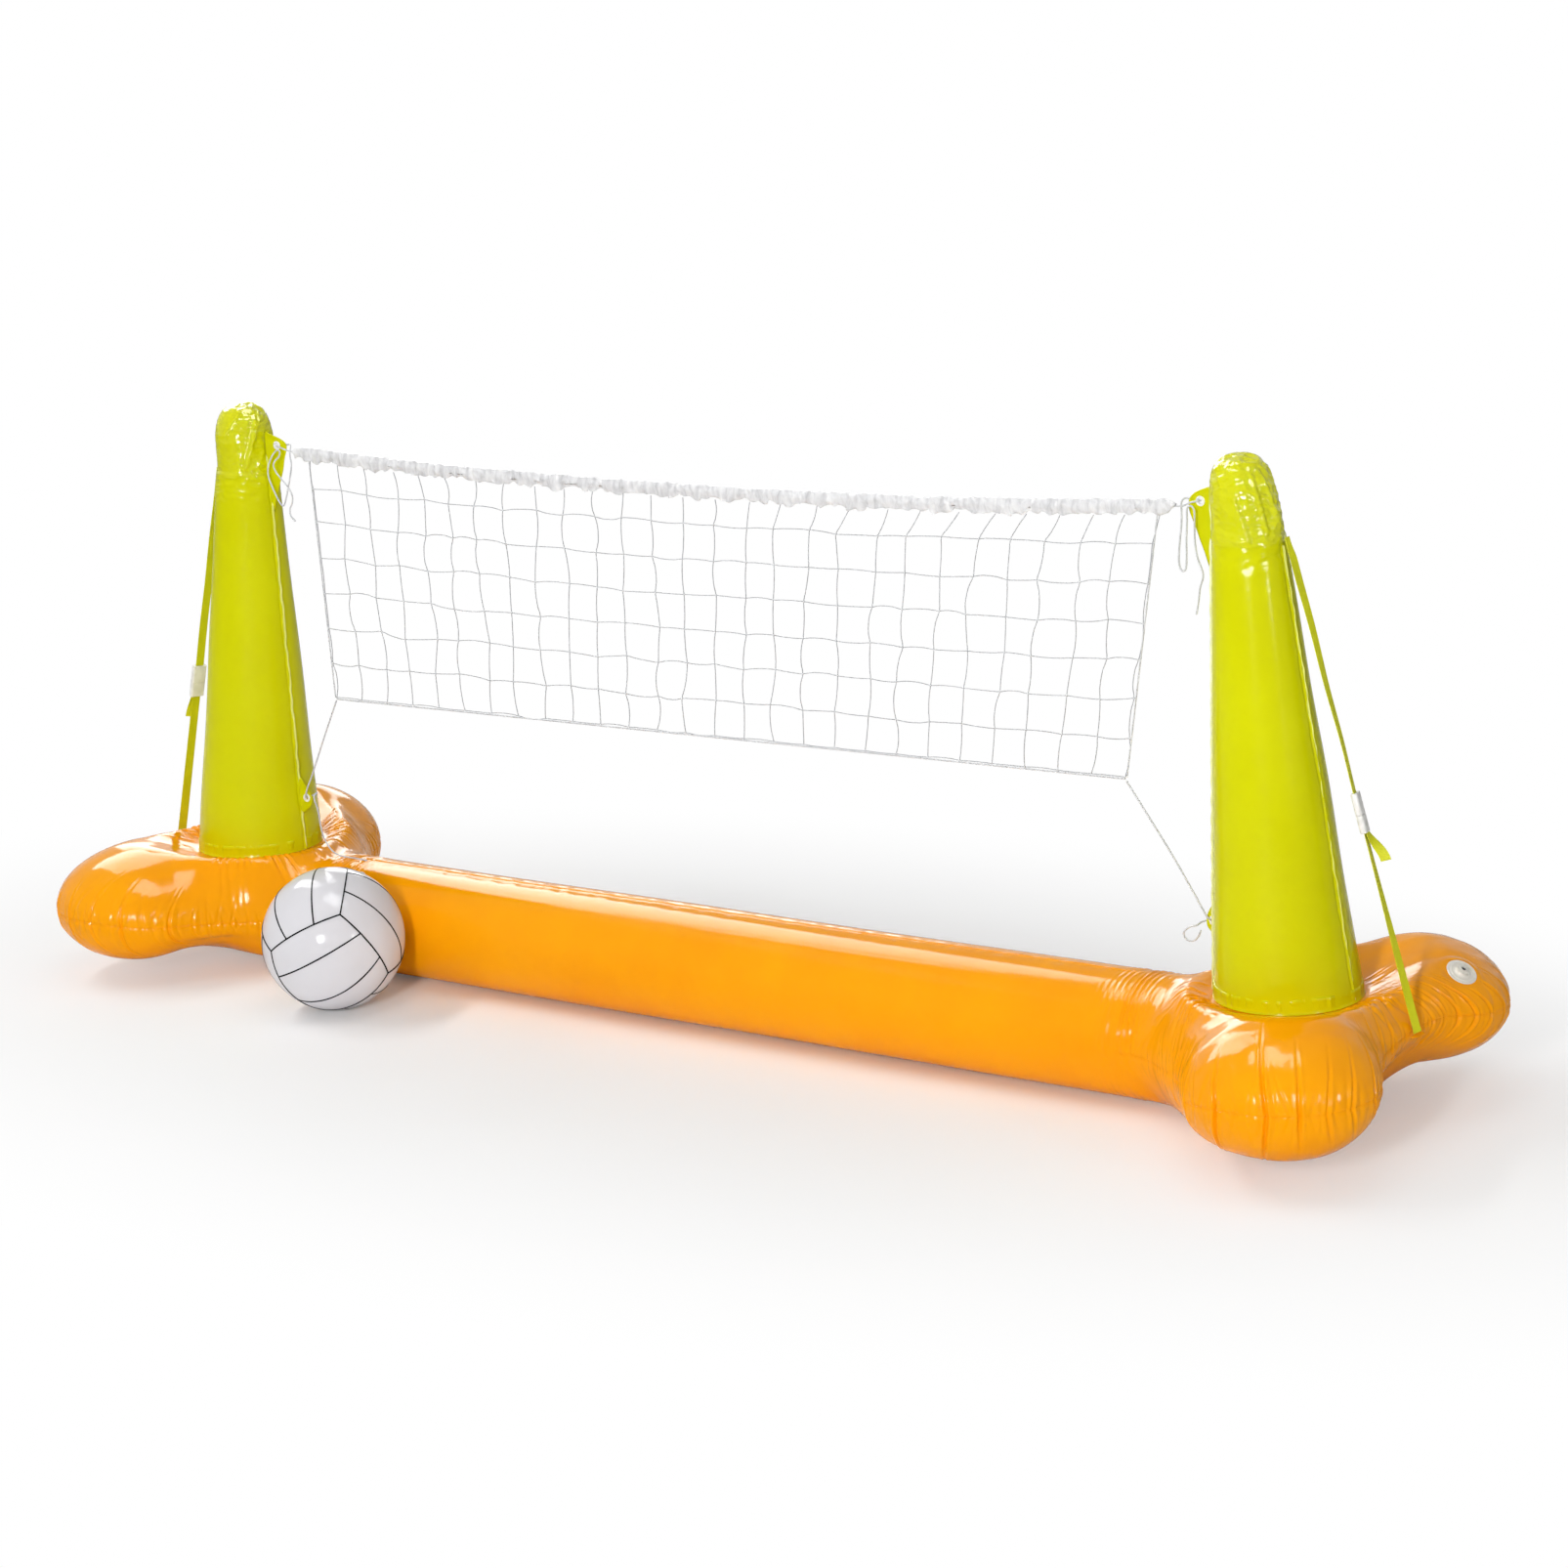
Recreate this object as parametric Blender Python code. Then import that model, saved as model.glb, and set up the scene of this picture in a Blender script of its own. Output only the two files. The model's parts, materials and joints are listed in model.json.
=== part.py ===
"""Inflatable volleyball net for a pool.

An orange base, a beam with a two-lobed end under each post, carries two lime posts. A knotted net hangs
between the posts from a gathered headband, tied to eyelets in ears welded to the posts. On the outer side
a strap with a side-release buckle holds each post to the notch of its end. The ball of the set lies
against the beam.

Metres, +Z up. X runs along the beam from the left post to the right one, -Y is the front, and the origin
is on the floor, midway between the posts.
"""

import math

import bmesh
import bpy
import numpy as np
from mathutils import Matrix, Vector

# Overall size
LENGTH = 2.390
WIDTH = 0.640
HEIGHT = 0.910

# Films, webbing and the space that touching pieces keep
FILM = 0.0004
GAP = 0.0003

# Base: the beam and the two-lobed ends
BEAM_RADIUS = 0.090
BEAM_SQUASH = 0.002
LOBE_RADIUS = 0.138
LOBE_FLATNESS = 0.70
LOBE_RISE = 0.034
NOTCH_RISE = 0.026
NOTCH_SPREAD = 0.090
NOTCH_PINCH = 0.48
NOTCH_PINCH_SPREAD = 0.045
RISE_START = 0.045
LOBE_BLEND = 0.0170
NECK_BLEND = 0.009
UNDERSIDE_SAG = 0.14
NECK_LENGTH = 0.228

# Posts
POST_INSET = 0.2325
POST_FOOT_RADIUS = 0.101
POST_FOOT_Z = 0.180
LEFT_POST_LEAN = 0.057
RIGHT_POST_LEAN = 0.046
POST_TOP_RADIUS = 0.0500
CROWN_RADIUS = 0.0455
CROWN_HEIGHT = 0.110
FOOT_BAND_HEIGHT = 0.019
SEAT_MARGIN = 0.006
DISH_SLOPE = 0.35
POST_SEGMENTS = 20

# Crown outline as shares of its height and of its radius
CROWN_OUTLINE = [
    (0.000, 1.080),
    (0.090, 1.010),
    (0.400, 1.000),
    (0.620, 0.990),
    (0.760, 0.930),
    (0.870, 0.800),
    (0.940, 0.600),
    (0.985, 0.320),
    (1.000, 0.000),
]

# Ears and eyelets
EAR_THICKNESS = 0.0010
EYELET_DROP = 0.0620
EYELET_REACH = 0.0240
EAR_MARGIN = 0.0140
EAR_RISE = 0.0240
EAR_FALL = 0.1140
EYELET_HOLE = 0.0042
EYELET_WALL = 0.0005
EYELET_FLANGE = 0.0070
EYELET_FLANGE_THICKNESS = 0.0008
LOW_EYELET_Z = 0.2680
LOW_EYELET_REACH = 0.0140
LOW_EAR_MARGIN = 0.0100
LOW_EAR_RISE = 0.0400
LOW_EAR_FALL = 0.0300

# Tips of the ears, as shares of their margin and heights from their eyelet
EAR_TIP = [(1.00, -0.0070), (0.95, 0.0040), (0.50, 0.0120)]
LOW_EAR_TIP = [(0.90, -0.0100), (1.00, 0.0020)]

# Net
CORD_RADIUS = 0.0014
STRAND = 0.0020
COLUMNS = 27
ROWS = 7
BAND_CLEAR = 0.0380
BAND_HEIGHT = 0.0200
BAND_THICKNESS = 0.0050
BAND_SAG = 0.0215
BAND_DROP = 0.0085
CORD_SHOWING = 0.0080
NET_TOP_INSET = 0.0700
NET_BOTTOM_LEFT_INSET = 0.0810
NET_BOTTOM_RIGHT_INSET = 0.1340
NET_BOTTOM_LEFT_Z = 0.4430
NET_BOTTOM_RIGHT_Z = 0.4570
TOP_ROW_SHARE = 0.72

# Straps and buckles
WEBBING_WIDTH = 0.0160
WEBBING_THICKNESS = 0.0010
STRAP_TOP_OFFSET = 0.0090
STRAP_TOP_RISE = 0.0040
STRAP_TOE = 0.0025
ANCHOR_DROP = 0.0300
ANCHOR_RISE = 0.0220
ANCHOR_REACH = 0.0190
TAB_REACH = 0.0110
TAB_HALF_WIDTH = 0.0140
TAB_THICKNESS = 0.0008
BUCKLE_START = 0.345
BUCKLE_WIDTH = 0.0240
BUCKLE_THICKNESS = 0.0090
SOCKET_LENGTH = 0.0300
BUCKLE_WALL = 0.0016
BUCKLE_CHAMFER = 0.0020
BUCKLE_HEAD = 0.0060
SOCKET_SLOT = 0.0024
PRONG_SLOT = 0.0042
PRONG_LENGTH = 0.0220
PRONG_BASE_LENGTH = 0.0240
BUCKLE_TWIST = math.radians(35)
TAIL_LENGTH = 0.0480
TAIL_TILT = (math.radians(8), math.radians(48))
TAIL_SWING = 0.0120
TAIL_SEAT = 0.0002

# Air valves
VALVE_RADIUS = 0.0215
VALVE_FLANGE = 0.0012
VALVE_STEM_RADIUS = 0.0080
VALVE_STEM_HEIGHT = 0.0035
VALVE_BORE = 0.0040
PLUG_RADIUS = 0.0085
PLUG_HEIGHT = 0.0030
PLUG_DEPTH = 0.0020
VALVE_HINGE_REACH = 0.0105
VALVE_OFFSET = (0.093, -0.042)
VALVE_STANDOFF = 0.0004
POST_VALVE_RISE = 0.300
SMALL_VALVE_SCALE = 0.55

# Ball
BALL_RADIUS = 0.112
BALL_X = -0.620

# Worked out from the sizes above
AXIS_Z = BEAM_RADIUS - BEAM_SQUASH
LOBE_X = LENGTH / 2 - LOBE_RADIUS
LOBE_Y = WIDTH / 2 - LOBE_RADIUS
POST_X = LENGTH / 2 - POST_INSET
WELD_X = POST_X - NECK_LENGTH
ARM_LENGTH = math.hypot(LOBE_X - POST_X, LOBE_Y)
ARM_EDGE = math.sqrt(LOBE_RADIUS**2 + LOBE_BLEND / (2 * LOBE_FLATNESS) ** 2)
HUB_TO_NOTCH = ARM_EDGE * ARM_LENGTH / LOBE_Y
CROWN_Z = HEIGHT - CROWN_HEIGHT
EYELET_Z = HEIGHT - EYELET_DROP
SIDES = {"left": -1, "right": 1}

ORANGE = (0.95, 0.36, 0.005)
LIME = (0.66, 0.69, 0.004)
WHITE = (0.80, 0.80, 0.80)
CLEAR = (0.78, 0.77, 0.72)


def make_material(name, colour, roughness):
    material = bpy.data.materials.new(name)
    material.use_nodes = True
    shader = material.node_tree.nodes["Principled BSDF"]
    shader.inputs["Base Color"].default_value = (*colour, 1.0)
    shader.inputs["Roughness"].default_value = roughness
    shader.inputs["Metallic"].default_value = 0.0
    material.diffuse_color = (*colour, 1.0)
    return material


def add_object(name, data, parent, colour, roughness):
    obj = bpy.data.objects.new(name, data)
    bpy.context.scene.collection.objects.link(obj)
    obj.data.materials.append(make_material(name, colour, roughness))
    obj.parent = parent
    return obj


def add_empty(name, location=(0, 0, 0)):
    empty = bpy.data.objects.new(name, None)
    bpy.context.scene.collection.objects.link(empty)
    empty.location = location
    return empty


def add_mesh(name, points, faces, parent, colour, roughness=0.3, smooth=True):
    """A closed mesh from points in the parent's frame, with its faces turned outward."""
    mesh = bpy.data.meshes.new(name)
    mesh.from_pydata([tuple(map(float, p)) for p in points], [], faces)
    body = bmesh.new()
    body.from_mesh(mesh)
    bmesh.ops.remove_doubles(body, verts=body.verts, dist=1e-6)
    bmesh.ops.recalc_face_normals(body, faces=body.faces)
    body.to_mesh(mesh)
    body.free()
    if smooth:
        mesh.shade_smooth()
        mesh.set_sharp_from_angle(angle=math.radians(40))
    return add_object(name, mesh, parent, colour, roughness)


def grid_faces(rows, columns, first, wrap=False):
    """Quads of a grid of points whose numbers start at first."""
    across = columns if wrap else columns - 1
    return [
        (
            first + i * columns + j,
            first + (i + 1) * columns + j,
            first + (i + 1) * columns + (j + 1) % columns,
            first + i * columns + (j + 1) % columns,
        )
        for i in range(rows - 1)
        for j in range(across)
    ]


def rim_faces(rows, columns, wrap=False, close_start=True, close_end=True):
    """Quads joining the edges of an outer grid to those of the inner grid that follows it."""
    inner = rows * columns
    across = columns if wrap else columns - 1
    faces = []
    for i, wanted in ((0, close_start), (rows - 1, close_end)):
        if wanted:
            for j in range(across):
                a = i * columns + j
                b = i * columns + (j + 1) % columns
                faces.append((a, b, b + inner, a + inner))
    if not wrap:
        for j in (0, columns - 1):
            for i in range(rows - 1):
                a = i * columns + j
                b = a + columns
                faces.append((a, b, b + inner, a + inner))
    return faces


def offset_grid(outer, wrap, thickness, inside):
    """The grid moved by thickness along its normals, towards the point inside."""
    along = np.gradient(outer, axis=0)
    if wrap:
        across = np.roll(outer, -1, axis=1) - np.roll(outer, 1, axis=1)
    else:
        across = np.gradient(outer, axis=1)
    normal = np.cross(along, across)
    length = np.linalg.norm(normal, axis=2, keepdims=True)
    normal = normal / np.maximum(length, 1e-12)
    towards = np.sum(normal * (np.asarray(inside) - outer), axis=2, keepdims=True)
    return outer + normal * np.where(towards > 0, thickness, -thickness)


def add_film(name, outer, parent, colour, inside, wrap=False, closed_start=False, closed_end=False):
    """A film as a closed body: the outer grid, the same grid moved inward, and the rims between them.

    A start or an end is closed where its row of points is a single pole."""
    inner = offset_grid(outer, wrap, FILM, inside)
    for row, is_pole in ((0, closed_start), (-1, closed_end)):
        if is_pole:
            pole = outer[row].mean(axis=0)
            direction = np.asarray(inside) - pole
            inner[row] = pole + direction / np.linalg.norm(direction) * FILM
    rows, columns = outer.shape[:2]
    points = np.concatenate([outer.reshape(-1, 3), inner.reshape(-1, 3)])
    faces = grid_faces(rows, columns, 0, wrap) + grid_faces(rows, columns, rows * columns, wrap)
    faces += rim_faces(rows, columns, wrap, not closed_start, not closed_end)
    return add_mesh(name, points, faces, parent, colour)


def add_turned(name, profile, segments, parent, colour, placement=Matrix.Identity(4)):
    """A ring turned about local Z from a closed profile of (radius, height) points."""
    points = []
    for k in range(segments):
        angle = 2 * math.pi * k / segments
        for radius, height in profile:
            local = Vector((radius * math.cos(angle), radius * math.sin(angle), height))
            points.append(placement @ local)
    count = len(profile)
    faces = []
    for k in range(segments):
        for i in range(count):
            a = k * count + i
            b = k * count + (i + 1) % count
            c = ((k + 1) % segments) * count + (i + 1) % count
            d = ((k + 1) % segments) * count + i
            faces.append((a, b, c, d))
    return add_mesh(name, points, faces, parent, colour)


def add_box(name, low, high, parent, colour, placement=Matrix.Identity(4)):
    corners = [(x, y, z) for x in (low[0], high[0]) for y in (low[1], high[1]) for z in (low[2], high[2])]
    points = [placement @ Vector(corner) for corner in corners]
    faces = [(0, 1, 3, 2), (4, 6, 7, 5), (0, 4, 5, 1), (2, 3, 7, 6), (0, 2, 6, 4), (1, 5, 7, 3)]
    return add_mesh(name, points, faces, parent, colour, smooth=False)


def smooth_step(value):
    t = np.clip(value, 0.0, 1.0)
    return t * t * (3 - 2 * t)


def smooth_max(a, b, blend):
    near = np.maximum(blend - np.abs(a - b), 0.0)
    return np.maximum(a, b) + near * near / (4 * blend)


def fullness(x, y):
    """Square of the half height of the blown-up right end at x, y, or below zero outside the outline."""
    lobes = []
    for side in (-1, 1):
        ux = (LOBE_X - POST_X) / ARM_LENGTH
        uy = side * LOBE_Y / ARM_LENGTH
        along = np.clip((x - POST_X) * ux + y * uy, 0.0, ARM_LENGTH)
        distance = np.hypot(x - POST_X - along * ux, y - along * uy)
        lobes.append(LOBE_FLATNESS**2 * (LOBE_RADIUS**2 - distance**2))
    both = smooth_max(lobes[0], lobes[1], LOBE_BLEND)
    neck = BEAM_RADIUS**2 - y**2 - np.maximum(0.0, x - POST_X) ** 2
    return smooth_max(both, neck, NECK_BLEND)


def half_height(x, y):
    """Half height of the right end at x, y. The strap pinches it near the notch."""
    distance = (x - POST_X - HUB_TO_NOTCH) ** 2 + y**2
    pinch = 1 - NOTCH_PINCH * np.exp(-distance / (2 * NOTCH_PINCH_SPREAD**2))
    return float(pinch * np.sqrt(max(fullness(x, y), 0.0)))


def seam_height(x, y):
    """Height of the weld seam's surface, which the straps pull up at the notch."""
    start = WELD_X + RISE_START
    rise = LOBE_RISE * smooth_step((x - start) / (LOBE_X - start))
    notch_x = POST_X + HUB_TO_NOTCH
    distance = (x - notch_x) ** 2 + y**2
    return AXIS_Z + rise + NOTCH_RISE * np.exp(-distance / (2 * NOTCH_SPREAD**2))


def reach(angle):
    """Distance from the post's foot to the end's outline, or to the weld with the beam, in one direction."""
    dx, dy = math.cos(angle), math.sin(angle)
    furthest = 0.6
    if dx < 0:
        to_weld = (POST_X - WELD_X) / -dx
        if abs(to_weld * dy) <= BEAM_RADIUS * 1.0001:
            return to_weld
        furthest = min(furthest, to_weld)
    near, far = 0.0, 0.0
    step = 0.004
    while far < furthest and fullness(POST_X + far * dx, far * dy) > 0:
        near = far
        far += step
    for _ in range(40):
        middle = (near + far) / 2
        if fullness(POST_X + middle * dx, middle * dy) > 0:
            near = middle
        else:
            far = middle
    return near


def end_angles():
    """Directions from the post's foot: evenly round the neck's half circle, then evenly round the rest."""
    neck_half = math.atan2(BEAM_RADIUS, NECK_LENGTH)
    neck_steps = 8
    lobe_steps = 26
    across = [BEAM_RADIUS * math.sin(math.pi * (k / neck_steps - 0.5)) for k in range(neck_steps)]
    around_neck = [math.pi + math.atan2(y, NECK_LENGTH) for y in across]
    start = math.pi + neck_half
    span = 2 * math.pi - 2 * neck_half
    around_lobes = [start + span * k / lobe_steps for k in range(lobe_steps)]
    return around_neck + around_lobes


def end_grid(is_upper):
    """Points of the right end's upper or lower sheet, from the middle of the post's foot out to the seam.

    The first ring is the flat seat that the post's foot rests on."""
    ring_count = 7
    seat = POST_FOOT_RADIUS + SEAT_MARGIN
    angles = end_angles()
    reaches = [reach(a) for a in angles]
    rows = []
    for i in range(ring_count + 1):
        share = math.sin(math.pi / 2 * (i - 1) / (ring_count - 1))
        row = []
        for angle, far in zip(angles, reaches):
            r = seat + (far - seat) * share if i else 0.0
            x = POST_X + r * math.cos(angle)
            y = r * math.sin(angle)
            half = half_height(x, y)
            if i == ring_count and x > WELD_X + 1e-4:
                half = 0.0
            middle = seam_height(x, y)
            if i <= 1 and is_upper:
                z = POST_FOOT_Z
            elif is_upper:
                z = min(middle + half, POST_FOOT_Z + DISH_SLOPE * (r - seat)) + GAP / 2
            else:
                sag = 1 + UNDERSIDE_SAG * (1 - smooth_step(r / HUB_TO_NOTCH))
                z = max(middle - half * sag - GAP / 2, 0.0)
            row.append((x, y, z))
        rows.append(row)
    return np.array(rows)


def mirrored(points, side):
    return points * np.array([side, 1, 1])


def build_base(parent):
    stations = 7
    segments = 24
    inner_end = WELD_X - GAP
    rows = []
    for i in range(stations):
        x = -inner_end + 2 * inner_end * i / (stations - 1)
        row = []
        for k in range(segments):
            angle = -math.pi / 2 + 2 * math.pi * (k + 0.5) / segments
            z = AXIS_Z + BEAM_RADIUS * math.sin(angle)
            row.append((x, BEAM_RADIUS * math.cos(angle), max(z, 0.0)))
        rows.append(row)
    outer = np.array(rows)
    inside = np.stack([outer[:, :, 0], 0 * outer[:, :, 1], 0 * outer[:, :, 2] + AXIS_Z], axis=2)
    add_film("beam_tube", outer, parent, ORANGE, inside, wrap=True)
    for name, side in SIDES.items():
        for sheet, is_upper in (("upper", True), ("lower", False)):
            outer = mirrored(end_grid(is_upper), side)
            inside = (side * POST_X, 0.0, AXIS_Z + LOBE_RISE / 2)
            add_film(f"{name}_end_{sheet}", outer, parent, ORANGE, inside, wrap=True, closed_start=True)


def post_axis(side, z):
    """Distance of a post's axis from the middle of the net. The net pulls the posts inward."""
    lean = LEFT_POST_LEAN if side < 0 else RIGHT_POST_LEAN
    return POST_X - lean * (z - POST_FOOT_Z) / (HEIGHT - POST_FOOT_Z)


def post_radius(z):
    """Radius of a post: a straight taper from the foot to the crown, then the crown's outline."""
    if z <= CROWN_Z:
        share = (z - POST_FOOT_Z) / (CROWN_Z - POST_FOOT_Z)
        return POST_FOOT_RADIUS + (POST_TOP_RADIUS - POST_FOOT_RADIUS) * share
    heights, radii = zip(*CROWN_OUTLINE)
    return CROWN_RADIUS * float(np.interp((z - CROWN_Z) / CROWN_HEIGHT, heights, radii))


def post_ring(side, z, radius, half=None):
    """Points round a post at one height: all of them, or only the front or back half."""
    if half is None:
        angles = [2 * math.pi * k / POST_SEGMENTS for k in range(POST_SEGMENTS)]
        shift = 0.0
    else:
        angles = [half * math.pi * k / (POST_SEGMENTS // 2) for k in range(POST_SEGMENTS // 2 + 1)]
        shift = half * GAP / 2
    axis = post_axis(side, z)
    return [(side * (axis + radius * math.cos(a)), radius * math.sin(a) + shift, z) for a in angles]


def build_post(name, side, parent):
    disc_z = POST_FOOT_Z + GAP
    panel_low = disc_z + FILM + GAP
    panel_high = CROWN_Z - GAP / 2
    panel_stations = 6
    for half_name, half in (("front", -1), ("back", 1)):
        rows = []
        for i in range(panel_stations):
            z = panel_low + (panel_high - panel_low) * i / (panel_stations - 1)
            rows.append(post_ring(side, z, post_radius(z), half))
        outer = np.array(rows)
        inside = np.zeros_like(outer)
        inside[:, :, 2] = outer[:, :, 2]
        inside[:, :, 0] = [[side * post_axis(side, p[2]) for p in row] for row in outer]
        inside[:, :, 1] = half * GAP
        add_film(f"{name}_post_{half_name}_panel", outer, parent, LIME, inside)
    rows = []
    for height, radius in CROWN_OUTLINE:
        z = CROWN_Z + CROWN_HEIGHT * height + GAP / 2 * (1 - height)
        rows.append(post_ring(side, z, CROWN_RADIUS * radius))
    outer = np.array(rows)
    inside = (side * post_axis(side, CROWN_Z), 0.0, CROWN_Z)
    add_film(f"{name}_post_crown", outer, parent, LIME, inside, wrap=True, closed_end=True)
    band_low = disc_z
    rows = []
    for z in (band_low, band_low + FOOT_BAND_HEIGHT):
        rows.append(post_ring(side, z, post_radius(z) + GAP + FILM))
    outer = np.array(rows)
    inside = (side * POST_X, 0.0, POST_FOOT_Z + FOOT_BAND_HEIGHT / 2)
    add_film(f"{name}_post_foot_band", outer, parent, LIME, inside, wrap=True)
    disc = [post_ring(side, z, POST_FOOT_RADIUS - 2 * FILM - GAP) for z in (disc_z, disc_z + FILM)]
    points = disc[0] + disc[1]
    lower = tuple(range(POST_SEGMENTS))
    upper = tuple(range(POST_SEGMENTS, 2 * POST_SEGMENTS))
    after = [(k + 1) % POST_SEGMENTS for k in lower]
    walls = [(k, n, n + POST_SEGMENTS, k + POST_SEGMENTS) for k, n in zip(lower, after)]
    add_mesh(f"{name}_post_base_disc", points, [lower, upper] + walls, parent, LIME, smooth=False)


def inner_side(side, z):
    """Distance of a post's inner seam, towards the net, from the middle of the net."""
    return post_axis(side, z) - post_radius(z)


def outer_side(side, z):
    """Distance of a post's outer seam, where the strap is held, from the middle of the net."""
    return post_axis(side, z) + post_radius(z)


def add_plate(name, outline, hole_x, hole_z, side, parent):
    """A thin upright plate in the plane of the net, from an outline of (x, z) points with one round hole."""
    curve = bpy.data.curves.new(name, "CURVE")
    curve.dimensions = "2D"
    curve.fill_mode = "BOTH"
    curve.extrude = EAR_THICKNESS / 2
    steps = 12
    angles = [2 * math.pi * k / steps for k in range(steps)]
    hole = [(hole_x + EYELET_HOLE * math.cos(a), hole_z + EYELET_HOLE * math.sin(a)) for a in angles]
    for ring in (outline, hole):
        spline = curve.splines.new("POLY")
        spline.points.add(len(ring) - 1)
        for point, (x, z) in zip(spline.points, ring):
            point.co = (side * x, z, 0.0, 1.0)
        spline.use_cyclic_u = True
    plate = add_object(name, curve, parent, LIME, 0.3)
    plate.rotation_euler = (math.pi / 2, 0, 0)
    return plate


def add_eyelet(name, side, x, z, parent):
    """A ring pressed into an ear, with a flange on each face."""
    face = EAR_THICKNESS / 2 + GAP
    barrel = EYELET_HOLE - GAP
    bore = barrel - EYELET_WALL
    flange = face + EYELET_FLANGE_THICKNESS
    profile = [
        (bore, -flange),
        (EYELET_FLANGE, -flange),
        (EYELET_FLANGE, -face),
        (barrel, -face),
        (barrel, face),
        (EYELET_FLANGE, face),
        (EYELET_FLANGE, flange),
        (bore, flange),
    ]
    placement = Matrix.Translation((side * x, 0, z)) @ Matrix.Rotation(math.pi / 2, 4, "X")
    return add_turned(name, profile, 12, parent, WHITE, placement)


def crown_corners():
    """Heights of the rings of the crown's outline, from the top down."""
    return [CROWN_Z + CROWN_HEIGHT * share for share, _ in reversed(CROWN_OUTLINE)]


def top_eyelet_x(side):
    return inner_side(side, EYELET_Z) - EYELET_REACH


def low_eyelet_x(side):
    return inner_side(side, LOW_EYELET_Z) - LOW_EYELET_REACH


def build_ears(name, side, parent):
    """The two ears on a post's inner seam. They stand off the seam by the usual gap."""
    x = top_eyelet_x(side)
    low_z = EYELET_Z - EAR_FALL
    top_z = EYELET_Z + EAR_RISE
    outline = [(inner_side(side, low_z) - GAP, low_z)]
    outline += [(x - EAR_MARGIN * share, EYELET_Z + rise) for share, rise in EAR_TIP]
    outline.append((inner_side(side, top_z) - GAP, top_z))
    outline += [(inner_side(side, z) - 2 * GAP, z) for z in crown_corners() if z < top_z]
    add_plate(f"{name}_post_top_ear", outline, x, EYELET_Z, side, parent)
    add_eyelet(f"{name}_top_eyelet", side, x, EYELET_Z, parent)
    x = low_eyelet_x(side)
    low_z = LOW_EYELET_Z - LOW_EAR_FALL
    top_z = LOW_EYELET_Z + LOW_EAR_RISE
    outline = [(inner_side(side, low_z) - GAP, low_z)]
    outline += [(x - LOW_EAR_MARGIN * share, LOW_EYELET_Z + rise) for share, rise in LOW_EAR_TIP]
    outline.append((inner_side(side, top_z) - GAP, top_z))
    add_plate(f"{name}_post_bottom_ear", outline, x, LOW_EYELET_Z, side, parent)
    add_eyelet(f"{name}_bottom_eyelet", side, x, LOW_EYELET_Z, parent)


def smooth_route(points, step):
    """Points a step apart along a smooth curve through the route's points."""
    route = [Vector(p) for p in points]
    ends = [2 * route[0] - route[1]] + route + [2 * route[-1] - route[-2]]
    fine = []
    for i in range(1, len(ends) - 2):
        a, b, c, d = ends[i - 1 : i + 3]
        for k in range(16):
            t = k / 16
            bend = 2 * a - 5 * b + 4 * c - d
            twist = 3 * b - a - 3 * c + d
            fine.append(0.5 * (2 * b + (c - a) * t + bend * t**2 + twist * t**3))
    fine.append(route[-1])
    lengths = np.cumsum([0.0] + [(q - p).length for p, q in zip(fine, fine[1:])])
    count = max(2, round(lengths[-1] / step))
    wanted = np.linspace(0.0, lengths[-1], count + 1)
    columns = [np.interp(wanted, lengths, [p[axis] for p in fine]) for axis in range(3)]
    return [Vector(p) for p in zip(*columns)]


def add_cord(name, points, parent, colour=WHITE, radius=CORD_RADIUS):
    curve = bpy.data.curves.new(name, "CURVE")
    curve.dimensions = "3D"
    curve.bevel_depth = radius
    curve.bevel_resolution = 2
    curve.use_fill_caps = True
    spline = curve.splines.new("POLY")
    spline.points.add(len(points) - 1)
    for point, place in zip(spline.points, points):
        point.co = (*place, 1.0)
    return add_object(name, curve, parent, colour, 0.8)


def net_x(across, left, right):
    """X at a share of the way from a place on the left side to one on the right side."""
    return -left + (left + right) * across


def band_x(across):
    """X along the headband, from its left end to its right end."""
    return net_x(across, top_eyelet_x(-1) - BAND_CLEAR, top_eyelet_x(1) - BAND_CLEAR)


def band_z(x):
    """Height of the headband's middle, which sags between its ends."""
    share = min(abs(x) / band_x(1.0), 1.0)
    return EYELET_Z - BAND_DROP - BAND_SAG * (1 - share**2.5)


def net_point(column, row):
    """Middle of the knot where two strands cross, from the headband at row 0 down to the bottom cord."""
    across = column / COLUMNS
    cut_off = 1 - TOP_ROW_SHARE
    down = max(row - cut_off, 0.0) / (ROWS - cut_off)
    left, right = top_eyelet_x(-1), top_eyelet_x(1)
    top_x = net_x(across, left - NET_TOP_INSET, right - NET_TOP_INSET)
    bottom_x = net_x(across, left - NET_BOTTOM_LEFT_INSET, right - NET_BOTTOM_RIGHT_INSET)
    top_z = band_z(top_x) - BAND_HEIGHT / 2 - GAP - STRAND / 2
    bottom_z = NET_BOTTOM_LEFT_Z + (NET_BOTTOM_RIGHT_Z - NET_BOTTOM_LEFT_Z) * across
    return top_x + (bottom_x - top_x) * down, top_z + (bottom_z - top_z) * down


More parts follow.
